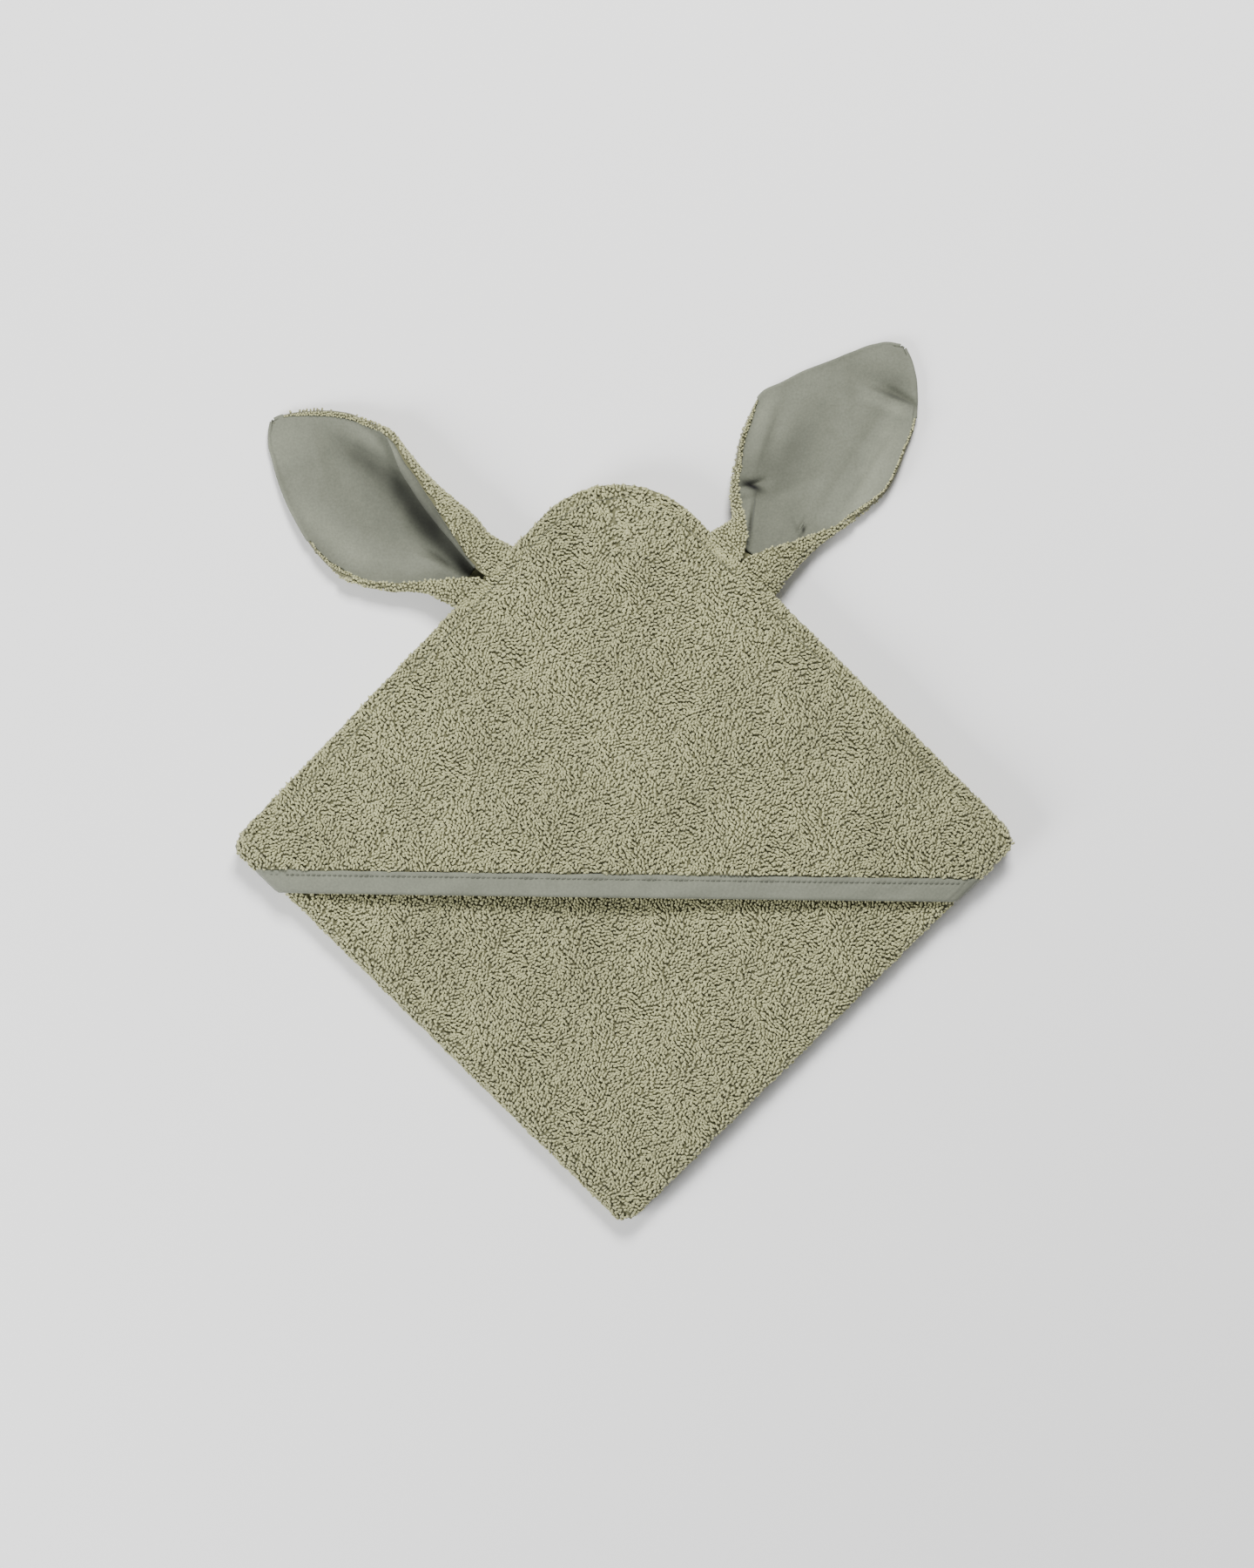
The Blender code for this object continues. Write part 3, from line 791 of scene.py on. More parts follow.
class TOWEL_OT_wraps(bpy.types.Operator):
    """Make the folded towel: an outer and an inner wrap of terry with their loops"""

    bl_idname = "towel.wraps"
    bl_label = "Folded towel"

    def execute(self, context):
        s = sizes()
        radius, small = HALF_STACK - TERRY_DEPTH, HALF_LEAF - TERRY_DEPTH
        outer = wrap_grid(fold_spacing(radius, TERRY_DEPTH, 12, 60), fold_spacing(small, TERRY_DEPTH, 7, 60),
                          outer_wrap_point)
        outer[..., 2] += outer_swell(outer)
        cloth = closed_cloth("towel_outer_wrap", outer[:, ::-1], s.ground)
        put(cloth, "terry_ground", "terry", carry_to(None), "towel_back_leaf", "towel_front_leaf")

        inner = wrap_grid(fold_spacing(FRONT_LOW - MIDDLE + TERRY_DEPTH, HALF_STACK - INNER_NOSE, 6, 50),
                          fold_spacing(HALF_LEAF - INNER_DEPTH, INNER_DEPTH, 7, 44), inner_wrap_point)
        inner_cloth = closed_cloth("towel_inner_wrap", inner, s.ground)
        put(inner_cloth, "terry_ground", "terry", carry_to(None))

        far, bend = way_round(radius, TERRY_DEPTH), radius * QUARTER
        piles = []
        for name, low, high, gap, body, kind, seed in (
                ("towel_back_pile", -far, -bend, s.loop_gap * BACK_GAP, BODY_BACK, "plain", 11),
                ("towel_fold_pile", -bend, bend, s.loop_gap, None, "fine", 12),
                ("towel_front_pile", bend, far, s.loop_gap, BODY_FRONT, "fine", 13)):
            u, w = woven((low, 0.0002), (high, way_round(small, TERRY_DEPTH)), gap, seed + s.seed)
            points, out, stretch = facing(outer_wrap_point, u, w)
            points[:, 2] += outer_swell(points)
            bare = not_under_hood(points) & roomy(stretch, seed)
            piles += pile(name, points[bare], out[bare], seed, carry_to(body), kind=kind)

        piles = []
        half = len(inner) // 2
        for name, skin, body, seed in (("towel_back_inner_pile", inner[:half - 2], BODY_BACK, 14),
                                       ("towel_front_inner_pile", inner[half + 3:], BODY_FRONT, 15)):
            inside = places_on(skin, s.inner_gap, seed + s.seed, lambda at: ~near_edges(at))
            rim = places_on(skin, s.loop_gap, seed + s.seed, near_edges)
            points, out = (np.concatenate(both) for both in zip(inside, rim))
            piles += pile(name, points, out, seed, carry_to(body), height=INNER_LOOPS, kind="plain")
        return {"FINISHED"}


# ---------------------------------------------------------------- hood

MOUTH_TILT, MOUTH_DROP = -0.0133, 0.0440
POCKET_RISE = 0.0090  # of the hood's mouth off the towel, in its middle
HOOD_OVER_LEFT, HOOD_OVER_RIGHT = 0.0036, 0.0012  # past each fold's nose
HOOD_THICK = 0.0040
APEX_BAND = 0.012  # the hood's last rows below its apex, which lie closer together
PRESSED = 0.0006  # how far the binding presses the hood's edge down
EDGE_STITCH_IN, GROOVE_WIDE, GROOVE_DEEP = 0.009, 0.0016, 0.0009


def above_mouth(points):
    """Distance up from the hood's mouth edge."""
    return points[..., 1] - MOUTH_TILT * points[..., 0] + MOUTH_DROP


def hood_outline():
    """The hood's left and right edges, each as distances above the mouth edge and places across."""
    t = np.linspace(0, 1, 400)
    edges = []
    none, full = np.zeros_like(t), np.ones_like(t)
    for fold, hem, past_fold in (
            (plan(none, t), plan(t, full), inward(BOTTOM, LEFT) * HOOD_OVER_LEFT),
            (plan(t, none), plan(full, t), -inward(BOTTOM, RIGHT) * HOOD_OVER_RIGHT)):
        edge = np.concatenate([fold + past_fold * smooth((fold[:, 1:] + 0.06) / 0.03), hem])
        up = above_mouth(edge)
        order = np.argsort(up, kind="stable")
        edges.append((up[order], edge[order, 0]))
    return edges


HOOD_LEFT, HOOD_RIGHT = hood_outline()
HOOD_RUN = min(HOOD_LEFT[0].max(), HOOD_RIGHT[0].max())


def hood_ends(up):
    """Where the hood begins and ends across, at a distance above the mouth edge."""
    return np.interp(up, *HOOD_LEFT), np.interp(up, *HOOD_RIGHT)


def hood_rise(across, up):
    """Height of the hood's underside above where it lies flat on the towel."""
    run = np.clip(up / HOOD_RUN, 0, 1)
    return POCKET_RISE * 4 * across * (1 - across) * (1 - run) ** 1.3


def hood_point(across, up, lift):
    """A point lift above the hood's underside. The hood's corners wrap down over both folds."""
    left, right = hood_ends(up)
    x = left + (right - left) * across
    y = up - MOUTH_DROP + MOUTH_TILT * x
    z = HOOD_BASE + hood_rise(across, up) + lift
    place = np.stack([x, y], -1) - BOTTOM
    small = HALF_LEAF + lift * 0.9
    for inset, over, radius, centre in (
            (place @ -inward(BOTTOM, LEFT), HOOD_OVER_LEFT, HALF_STACK + lift, MIDDLE),
            (place @ inward(BOTTOM, RIGHT), HOOD_OVER_RIGHT, small, FRONT_HIGH - HALF_LEAF)):
        away = np.clip(radius - (inset + over), 0, radius)
        arc = centre + np.sqrt(np.maximum(radius ** 2 - away ** 2, 0)) + HOOD_CLEAR
        z = np.where(away > 0, np.minimum(z, arc), z)
    return np.stack([x, y, z], -1)


def hood_by_folds(v, w):
    """Point of the hood's ground cloth by the ways round the left and the right fold."""
    lift = HOOD_THICK - TERRY_DEPTH
    n, _ = roll(v, HALF_STACK + lift)
    m, _ = roll(w, HALF_LEAF + lift * 0.9)
    at = plan(np.minimum((n - HOOD_OVER_LEFT) / SIDE, 1), np.minimum((m - HOOD_OVER_RIGHT) / SIDE, 1))
    up = np.clip(above_mouth(at), 0, HOOD_RUN)
    left, right = hood_ends(up)
    return hood_point(np.clip((at[..., 0] - left) / (right - left), 0, 1), up, lift)


def hood_swell(points):
    """Slow rise and fall of the hood's cloth."""
    x, y, z = np.moveaxis(points, -1, 0)
    return 0.0009 * ripples(x, y, 0.085, 8) * smooth((z - FRONT_HIGH) / 0.003)


def hood_grid(bound):
    """The hood's ground cloth: rows up from the mouth, pressed where the binding holds them."""
    ups = np.concatenate([[0.003, bound * 0.5], np.linspace(bound, HOOD_RUN - APEX_BAND, 60),
                          HOOD_RUN - APEX_BAND * (1 - np.linspace(0, 1, 10)[1:]) ** 2 - 0.0002])
    t = np.linspace(0, 1, 90)
    closer_at_ends = (t + 0.5 * (1 - np.cos(math.pi * t))) / 2
    uu, cc = np.meshgrid(ups, closer_at_ends, indexing="ij")
    top = hood_point(cc, uu, HOOD_THICK - TERRY_DEPTH)
    pressed = smooth(1 - (ups - bound) / 0.004)[:, None]
    top[..., 2] -= PRESSED * pressed
    top[..., 2] += hood_swell(top) * (1 - pressed)
    return top


def hem_groove(points):
    """How far loops are pulled down by the edge stitching, 0 to 1."""
    inside = np.stack([(points[:, :2] - p) @ inward(p, q) for p, q in (SIDE_HEM_LEFT, SIDE_HEM_RIGHT)])
    return np.exp(-((np.abs(inside) - EDGE_STITCH_IN) / GROOVE_WIDE) ** 2).max(0)


class TOWEL_OT_hood(bpy.types.Operator):
    """Make the hood: a domed corner of terry with its loops"""

    bl_idname = "towel.hood"
    bl_label = "Hood"

    def execute(self, context):
        s = sizes()
        cloth = closed_cloth("hood_terry", hood_grid(s.binding_width * 0.9), s.ground)
        put(cloth, "terry_ground", "terry", carry_to(BODY_FRONT), "hood_panel")
        u, w = woven((0.005, 0.003), (SIDE + 0.0096, SIDE + 0.0046), s.loop_gap, 21 + s.seed)
        points, out, stretch = facing(hood_by_folds, u, w)
        points[:, 2] += hood_swell(points)
        up = above_mouth(points)
        keep = (up > s.binding_width + 0.0001) & (up < HOOD_RUN - 0.0006) & (points[:, 2] > MIDDLE - 0.002)
        keep &= roomy(stretch, 23)
        points, out = points[keep], out[keep]
        points[:, 2] -= GROOVE_DEEP * hem_groove(points)
        loops = pile("hood_pile", points, out, 22, carry_to(BODY_FRONT))
        return {"FINISHED"}


# ---------------------------------------------------------------- hems

HEM_RADIUS = 0.0012
HEM_CENTRE_IN = 0.0022
# Each layer's hem: name, height of its middle, body
HEMS = (("hem_layer_4", 0.0020, BODY_BACK), ("hem_layer_3", 0.0062, BODY_BACK),
        ("hem_layer_2", 0.0122, BODY_FRONT), ("hem_layer_1", 0.0163, BODY_FRONT),
        ("hem_hood", HOOD_BASE + 0.0020, BODY_FRONT))


def hem_path():
    """Points along the two hems from the right corner over the top to the left corner."""
    t = np.linspace(0, 1, 260)
    a = 1 - HEM_CENTRE_IN / SIDE
    right = plan(np.full_like(t, a), t * a)
    left = plan(a * (1 - t), np.full_like(t, a))
    return np.concatenate([right, left[1:]])


class TOWEL_OT_hems(bpy.types.Operator):
    """Make the loops that stand out sideways round the hems of the towel's layers and of the hood"""

    bl_idname = "towel.hems"
    bl_label = "Hems"

    def execute(self, context):
        s = sizes()
        path = hem_path()
        along = unit(np.gradient(path, axis=0))
        away = np.stack([along[:, 1], -along[:, 0]], -1) * HEM_RADIUS
        for k, (name, height, body) in enumerate(HEMS):
            rows = []
            for angle in np.linspace(-0.45 * math.pi, 0.45 * math.pi, 7):
                z = np.full((len(path), 1), height + HEM_RADIUS * math.sin(angle))
                rows.append(np.concatenate([path + away * math.cos(angle), z], -1))
            points, out = places_on(np.stack(rows), s.loop_gap, 40 + k + s.seed)
            pile(name + "_pile", points, out, 50 + k, carry_to(body), reach=0.8, height=0.0016)
        return {"FINISHED"}


# ---------------------------------------------------------------- binding

STITCH_ROW = 0.79  # share of the binding's width
LIP = 0.0024  # half the binding's thickness where it is folded over the hood's edge
BINDING_MIDDLE = 0.0020  # above the hood's underside
BINDING_CLOTH = 0.0006
MOUTH_LONG, SEAM_LONG = 0.49, 0.482
STITCH_THICK, STITCH_FILLS = 0.00034, (0.14, 0.86)
STITCH_ARCH = (-0.0003, 0.00010, 0.00022, 0.00022, 0.00010, -0.0003)


def binding_swell(line):
    """Slow rise and fall along the binding."""
    return 0.0005 * ripples(line[:, 0], line[:, 1] * 3, 0.05, 9)


def binding_grid(width, stitch):
    """The binding from its upper hem down its front, round its fold and up its back."""
    across = np.linspace(0, 1, 420)
    turns = np.linspace(0, math.pi, 9)
    section = [(width * f, LIP) for f in (1.0, 0.985, 0.93, 0.86, 0.79, 0.72, 0.62, 0.5, 0.35, 0.22)]
    section += [(LIP * (1 - math.sin(a)), LIP * math.cos(a)) for a in turns]
    section += [(width * f, -LIP) for f in (0.3, 0.6, 0.9)]
    along = across * MOUTH_LONG
    pucker = 0.00016 * np.sin(along * 2 * math.pi / stitch) + 0.00022 * ripples(along, along * 0, 0.013, 3)
    rows = []
    for up, lift in section:
        row = hood_point(across, np.full_like(across, up), BINDING_MIDDLE)
        near = math.exp(-((up - width * STITCH_ROW) / (width * 0.11)) ** 2)
        row[:, 2] += lift + (pucker * (0.4 + near) + binding_swell(row) - 0.0005 * near if lift > 0 else 0)
        if up > width * 0.97:
            row[:, 1] += 0.00025 * ripples(along, along * 0, 0.02, 13)
            row[:, 2] -= PRESSED
        rows.append(row)
    return np.stack(rows)


def topstitch(width, stitch):
    """The binding's row of separate stitches, each arched and sunk at its ends."""
    count = int(SEAM_LONG / stitch)
    verts, faces = [], []
    for k in range(count):
        share = 0.008 + np.linspace(*((k + end) / count for end in STITCH_FILLS), 6) * 0.984
        line = hood_point(share, np.full_like(share, width * STITCH_ROW), BINDING_MIDDLE + LIP)
        line[:, 2] += binding_swell(line) - 0.00022 + np.array(STITCH_ARCH)
        points, quads = tube_along(line, STITCH_THICK)
        faces.append(quads + k * len(points))
        verts.append(points)
    return outward(mesh_from("mouth_topstitch", np.concatenate(verts), np.concatenate(faces)))


class TOWEL_OT_binding(bpy.types.Operator):
    """Make the woven strip folded over the hood's mouth, with its row of topstitching"""

    bl_idname = "towel.binding"
    bl_label = "Binding"

    def execute(self, context):
        s = sizes()
        strip = closed_cloth("mouth_binding", binding_grid(s.binding_width, s.stitch)[:, ::-1], BINDING_CLOTH)
        put(strip, "binding_cotton", "binding", carry_to(BODY_FRONT), "hood_binding")
        stitches = topstitch(s.binding_width, s.stitch)
        put(stitches, "sewing_thread", "thread", carry_to(BODY_FRONT), "binding_topstitch")
        return {"FINISHED"}


# ---------------------------------------------------------------- ears

# Each station across an ear, in millimetres: distance out from the seam, then, on the side to the left of
# the ear's length and on the side to its right, the outline, the free edge (which turns in over the lining
# near the seam), the height of the outline and the height of the free edge; last, the middle's height.
LEFT_EAR = (
    # out, left: outline, edge, z, z,   right: outline, edge, z, z,   middle
    (-5, 26, 3, 2.0, 3.2, -24.5, -2, 2.4, 3.6, 0.4),
    (4, 26.8, 4, 3.0, 5.6, -23.5, -1, 5.0, 7.5, 0.0),
    (16, 28.3, 14, 4.0, 7.0, -22.7, -3, 7.5, 12.0, -0.6),
    (30, 31.5, 26, 4.8, 7.0, -26.8, -7, 10.0, 17.0, -0.8),
    (50, 44.5, 42, 6.0, 7.0, -28.4, -12, 12.0, 21.0, -0.8),
    (72, 54.4, 53.6, 7.0, 7.3, -31, -19, 12.5, 22.0, -0.6),
    (92, 57, 57, 7.2, 7.2, -36, -28, 11.5, 19.0, -0.4),
    (108, 53.2, 53.2, 6.6, 6.6, -40.5, -37.4, 10.5, 13.0, -0.2),
    (125, 46.3, 46.3, 5.4, 5.4, -40, -40, 9.0, 9.0, 0.0),
    (143, 37, 37, 4.0, 4.0, -36.4, -36.4, 5.5, 5.5, 0.6),
    (157, 27.6, 27.6, 2.8, 2.8, -29, -29, 3.2, 3.2, 0.9),
    (168, 18.8, 18.8, 1.7, 1.7, -20.4, -20.4, 1.8, 1.8, 0.8),
    (176.5, 11.2, 11.2, 0.9, 0.9, -12.2, -12.2, 1.0, 1.0, 0.7),
    (181, 4.0, 4.0, 0.5, 0.5, -6.3, -6.3, 0.5, 0.5, 0.5),
    (182.8, -0.6, -0.6, 0.3, 0.3, -2.8, -2.8, 0.3, 0.3, 0.3),
)
RIGHT_EAR = (
    (-5, 31, 4, 2.0, 3.4, -26, 2, 2.0, 3.4, 0.3),
    (4, 29.5, 5, 3.4, 6.0, -26.3, 1, 3.4, 6.0, 0.2),
    (14, 25.8, 9, 4.2, 7.0, -26.6, -4, 4.6, 7.4, 0.0),
    (24, 24.2, 17, 4.4, 6.6, -27.6, -11, 4.8, 7.6, 0.0),
    (36, 34.8, 31.6, 4.6, 5.6, -29.8, -20, 5.2, 7.6, 0.0),
    (50, 43, 42.4, 4.6, 4.8, -33.4, -29.5, 5.6, 6.8, 0.0),
    (68, 53, 53, 4.2, 4.2, -40, -39.4, 6.4, 6.6, 0.0),
    (85, 58, 58, 3.8, 3.8, -45.9, -45.9, 7.0, 7.0, 0.0),
    (98, 60.4, 60.4, 3.0, 3.0, -48.5, -48.5, 7.2, 7.2, 0.2),
    (107, 59.6, 59.6, 2.6, 2.6, -48.2, -48.2, 7.0, 7.0, 0.3),
    (118, 53.3, 53.3, 2.2, 2.2, -46.4, -46.4, 6.4, 6.4, 0.4),
    (133, 45.8, 45.8, 1.6, 1.6, -42.6, -42.6, 5.0, 5.0, 0.6),
    (149, 35.4, 35.4, 1.2, 1.2, -38.2, -38.2, 3.4, 3.4, 0.8),
    (165, 25.3, 25.3, 1.0, 1.0, -27.9, -27.9, 2.2, 2.2, 0.9),
    (178, 16, 16, 0.8, 0.8, -16.6, -16.6, 1.2, 1.2, 0.8),
    (185, 7.9, 7.9, 0.5, 0.5, -7.2, -7.2, 0.6, 0.6, 0.5),
    (187.6, 1.6, 1.6, 0.3, 0.3, -1.6, -1.6, 0.3, 0.3, 0.3),
)
# Creases of an ear: place out and across, direction in degrees, length, width, depth (below 0, a ridge).
CREASES = {
    "left_ear": ((112, -19, 6, 62, 13, 3.6), (32, 8, -2, 28, 8, 3.0), (128, -2, -30, 44, 16, 2.0),
                 (62, 30, 22, 50, 16, -1.6), (100, 24, 6, 50, 18, -1.4), (146, 16, 60, 30, 12, 1.2),
                 (60, 12, 12, 60, 16, 1.6)),
    "right_ear": ((160, -16, -84, 34, 10, 3.0), (49, 29, -34, 20, 7, 5.0), (46, -16, 6, 10, 5.0, 3.4),
                  (105, -24, 20, 12, 8, 1.8), (96, -20, 4, 110, 16, 2.0), (82, 33, 21, 72, 14, 2.0),
                  (118, 6, 70, 50, 16, 1.6), (66, 4, -30, 50, 14, 1.4), (140, 14, 40, 40, 14, -1.4)),
}
# Pleats of a lining: place out and across, direction, length, width of the slow rise, of the drop, height.
PLEATS = {
    "left_ear": ((108, -20, 8, 46, 9, 4.0, 1.6), (36, 13, 10, 26, 10, 3.0, 1.5),
                 (137, 6, -40, 26, 10, 5.0, 0.7)),
    "right_ear": ((26, 13.5, 29, 40, 8, 2.0, 3.4), (154, -16, -76, 36, 4.0, 16, 4.2),
                  (45, -17, 12, 12, 5, 2.4, 2.6), (100, -27, 2, 70, 12, 6.0, 1.3),
                  (43, 27, -40, 14, 7, 2.2, 2.4), (76, 40, 18, 50, 10, 5.0, 1.0)),
}
# Painted shade of a lining where it is cupped, and painted light where it faces up: place, sizes, strength.
PAINTED_LINING_SHADING = {
    "left_ear": ((118, -17, 0, 24, 9, -0.27), (82, -13, -12, 26, 11, -0.30), (46, -5, -20, 26, 10, -0.38),
                 (16, 2, -20, 14, 6, -0.36), (104, 2, 0, 54, 20, -0.13), (100, 40, 0, 46, 9, 0.13),
                 (168, 0, 0, 15, 22, 0.08), (116, -32, 0, 28, 5, 0.10)),
    "right_ear": ((72, 22, 0, 30, 13, -0.18), (104, 16, 0, 40, 22, -0.08), (164, -6, -76, 24, 9, -0.16),
                  (158, -19, -76, 17, 2.4, -0.30), (149, -19, -76, 15, 3, 0.16), (100, -36, 12, 44, 8, 0.22),
                  (94, 53, 0, 26, 6, 0.14), (49, 28, -80, 8, 2.6, -0.55), (24, 12.5, 28, 17, 1.4, -0.45),
                  (45.5, -18.5, 20, 3, 1.4, -0.55), (42, -16, 60, 9, 1.6, -0.16), (56, -5, 8, 26, 6, -0.07),
                  (30, 19, 28, 14, 4, 0.10)),
}
# Width of terry that shows between an ear's edge and its lining, in millimetres: distance out, left side,
# right side. Below 0 the lining turns over the edge instead and shows on the back's side.
RIMS = {
    "left_ear": ((-5, 4, -0.5), (20, 4, -0.8), (40, 4, -3.5), (60, 4, -6.0), (85, 3.2, -6.2),
                 (103, 1.4, -3.0), (116, 0.8, 1.5), (130, 0.6, 3.6), (158, 0.4, 3.8), (172, 0.3, 2.0),
                 (183, 0.3, 0.3)),
    "right_ear": ((-5, 4, 4), (24, 4, 4), (60, 3.8, 3.8), (86, 2.8, 2.6), (102, 0.6, 1.0), (130, 0.3, 1.2),
                  (150, 0.3, 1.0), (166, 0.3, 0.4), (184.5, 0.3, 0.3)),
}
EARS = {
    "left_ear": {"stations": LEFT_EAR, "turn": 144.0, "lining": "lining_cotton_left"},
    "right_ear": {"stations": RIGHT_EAR, "turn": 54.1, "lining": "lining_cotton_right"},
}
ROWS, COLUMNS, LINING_COLUMNS = 150, 141, 150
SECTION = np.array([-1.0, -0.84, -0.68, -0.5, -0.25, 0.0, 0.25, 0.5, 0.68, 0.84, 1.0])
LOOP_ROOM = 0.8  # millimetres that loops stand out beyond the cloth's edge
EAR_BASE = 0.0040  # lining side above the table where an ear lies flat
DROOP_END = 0.060  # from the seam to where an ear has come down to the table
SEAM_BELOW = 0.0075  # from the hinge down to the lining side at the seam
SEAM_FLATTER = 0.15  # share of its height that an ear loses at the seam
BACK_IN = 0.0004  # from the ear's face to its terry
LINING_CLOTH = 0.0005
LINING_START = 9  # rows of an ear that are sewn in under the hood, before its lining begins
THREAD_START, THREAD_RADIUS = 17, 0.0002
EAR_LIFT = 0.0005  # lining's outer face above the terry's face
EAR_STACK = 0.0029  # through the terry at a curled edge
EDGE_SHOWS = 0.0009  # rims narrower than this are all lining
LEAST_RIM = 0.0003  # a lining's first and last column lie at least this far in
REAR_GAP, RIM_GAP = 0.72, 0.58  # loop spacing on an ear's underside and rims, against the towel's
TIP_BARE = 0.005  # no loops this near to an ear's tip
# A lining's base tone, and how strongly its painted shade and light are laid on
BASE_TONE, PAINTED_SHADING_DEPTH = 0.94, 1.6
# Lining's hem where it turns over a curled edge: share of the turned width (below 0, millimetres past the
# edge), share of the height; and where it wraps a plain edge: millimetres out and up; and where it tucks in.
TURNED = ((-0.9, 0.35), (-0.7, 0.75), (0.3, 1.0), (1.0, 0.95))
WRAPPED = ((0.7, 0.1), (1.1, -0.6), (1.0, -1.5), (0.5, -2.0))
TUCKED = (0.1, 0.2, 0.3, 0.4)


def through(values, knots, at, steady=100.0):
    """A smooth curve through values at knots, read at other places; a low steady keeps it from swinging."""
    tall = (-1,) + (1,) * (values.ndim - 1)
    slope = np.gradient(values, knots, axis=0)
    secant = np.abs(np.diff(values, axis=0) / np.diff(knots).reshape(tall))
    steepest = steady * np.minimum(secant[:-1], secant[1:])
    slope[1:-1] = np.clip(slope[1:-1], -steepest, steepest)
    k = np.clip(np.searchsorted(knots, at) - 1, 0, len(knots) - 2)
    span = knots[k + 1] - knots[k]
    t, span = ((at - knots[k]) / span).reshape(tall), span.reshape(tall)
    return ((2 * t ** 3 - 3 * t ** 2 + 1) * values[k] + (t ** 3 - 2 * t ** 2 + t) * span * slope[k]
            + (-2 * t ** 3 + 3 * t ** 2) * values[k + 1] + (t ** 3 - t ** 2) * span * slope[k + 1])


def turned_about(s, w, place_out, place_across, degrees):
    """Places along and beside a line through a place on the ear."""
    angle = math.radians(degrees)
    ds, dw = s - place_out, w - place_across
    return ds * math.cos(angle) + dw * math.sin(angle), -ds * math.sin(angle) + dw * math.cos(angle)


def spread_rows(w, z, columns):
    """Rows of a section's points, spread evenly along each row."""
    reach = np.cumsum(np.hypot(np.diff(w, prepend=w[:, :1]), np.diff(z, prepend=z[:, :1])), 1)
    share = np.linspace(0, 1, columns)
    return (np.stack([np.interp(share * r[-1], r, row) for r, row in zip(reach, rows)]) for rows in (w, z))


def ear_sheet(name):
    """The lining side of an ear as a grid: rows out from the seam, columns from its left edge to its
    right. Gives length, width and height in millimetres."""
    table = np.array(EARS[name]["stations"], float)
    out = np.linspace(0, 1, ROWS)
    out = table[0, 0] + (table[-1, 0] - table[0, 0]) * (out + np.sin(out * math.pi / 2)) / 2
    s, lo, le, lz, lez, ro, re, rz, rez, mid = through(table, table[:, 0], out).T
    rims = np.array(RIMS[name], float)
    room = [LOOP_ROOM * smooth(np.abs(np.interp(out, rims[:, 0], rims[:, k])) / 2) for k in (1, 2)]
    lo, le, ro, re = lo - room[0], le - room[0], ro + room[1], re + room[1]
    left, right = ([
        (edge, ez), (edge * 0.55 + outline * 0.45, ez * 0.94 + z * 0.06), (outline, z + (ez - z) * 0.3),
        (outline * 0.86, z * 0.50), (outline * 0.44, mid * 0.7 + z * 0.10),
    ] for outline, edge, z, ez in ((lo, le, lz, lez), (ro, re, rz, rez)))
    cage = np.array(left + [((lo + ro) / 2 * 0.3, mid)] + right[::-1])
    fine = through(cage, SECTION, np.linspace(-1, 1, 481), 2.5)
    w, z = spread_rows(fine[:, 0, :].T, fine[:, 1, :].T, COLUMNS)
    s = np.repeat(s[:, None], COLUMNS, 1)
    for *place, length, width, depth in CREASES[name]:
        along, side = turned_about(s, w, *place)
        z = z - depth * np.exp(-(along / length * 2) ** 2 - (side / width * 2) ** 2 * 1.6)
    return s, w, z


def pleat_lift(name, s, w):
    """How far pleats lift a lining off its terry, at its own length and width in millimetres."""
    lift = np.zeros_like(s)
    for *place, length, rise, fall, height in PLEATS[name]:
        along, side = turned_about(s, w, *place)
        crest = np.where(side > 0, smooth(1 - side / rise), smooth(1 + side / fall))
        lift += height * crest * np.exp(-(along / length * 2) ** 4)
    return lift / 1000


def ear_ways(name):
    """In plan: the middle of an ear's seam, and the ways along the ear, to its left and off the seam."""
    turn = math.radians(EARS[name]["turn"])
    along = np.array([math.cos(turn), math.sin(turn)])
    joint = JOINTS[name + "_flop"]
    off = np.array([joint["axis"][1], -joint["axis"][0]])
    off = off if off @ along > 0 else -off
    return np.array(joint["pos_m"][:2]), along, np.array([-along[1], along[0]]), off


def ear_local(name, points):
    """An ear's own length and width, in millimetres, of points in the world."""
    seam, along, left, _ = ear_ways(name)
    place = points[..., :2] - seam
    return place @ along * 1000, place @ left * 1000


def ear_world(name, s, w, z):
    """From an ear's own length, width and height to the world. It droops from its seam to the table."""
    seam, along, left, off = ear_ways(name)
    place = seam + s[..., None] / 1000 * along + w[..., None] / 1000 * left
    droop = 1 - smooth(np.abs((place - seam) @ off) / DROOP_END)
    height = EAR_BASE + (HINGE_HEIGHT - SEAM_BELOW - EAR_BASE) * droop
    return np.concatenate([place, (height + z / 1000 * (1 - SEAM_FLATTER * droop))[..., None]], -1)


def ear_sides(name):
    """An ear by its left and its right edge: width of the rim, rows that begin there, and their normals."""
    s, w, z = ear_sheet(name)
    face = ear_world(name, s, w, z)
    table = np.array(RIMS[name], float)
    rims = [np.interp(s[:, 0], table[:, 0], table[:, k]) / 1000 for k in (1, 2)]
    normal = normals_of(face)
    if normal[ROWS * 2 // 5, COLUMNS // 3 + 1, 2] < 0:  # faces down
        face, rims = face[:, ::-1], rims[::-1]
        normal = normals_of(face)
    return (rims[0], face, normal), (rims[1], face[:, ::-1], normal[:, ::-1])


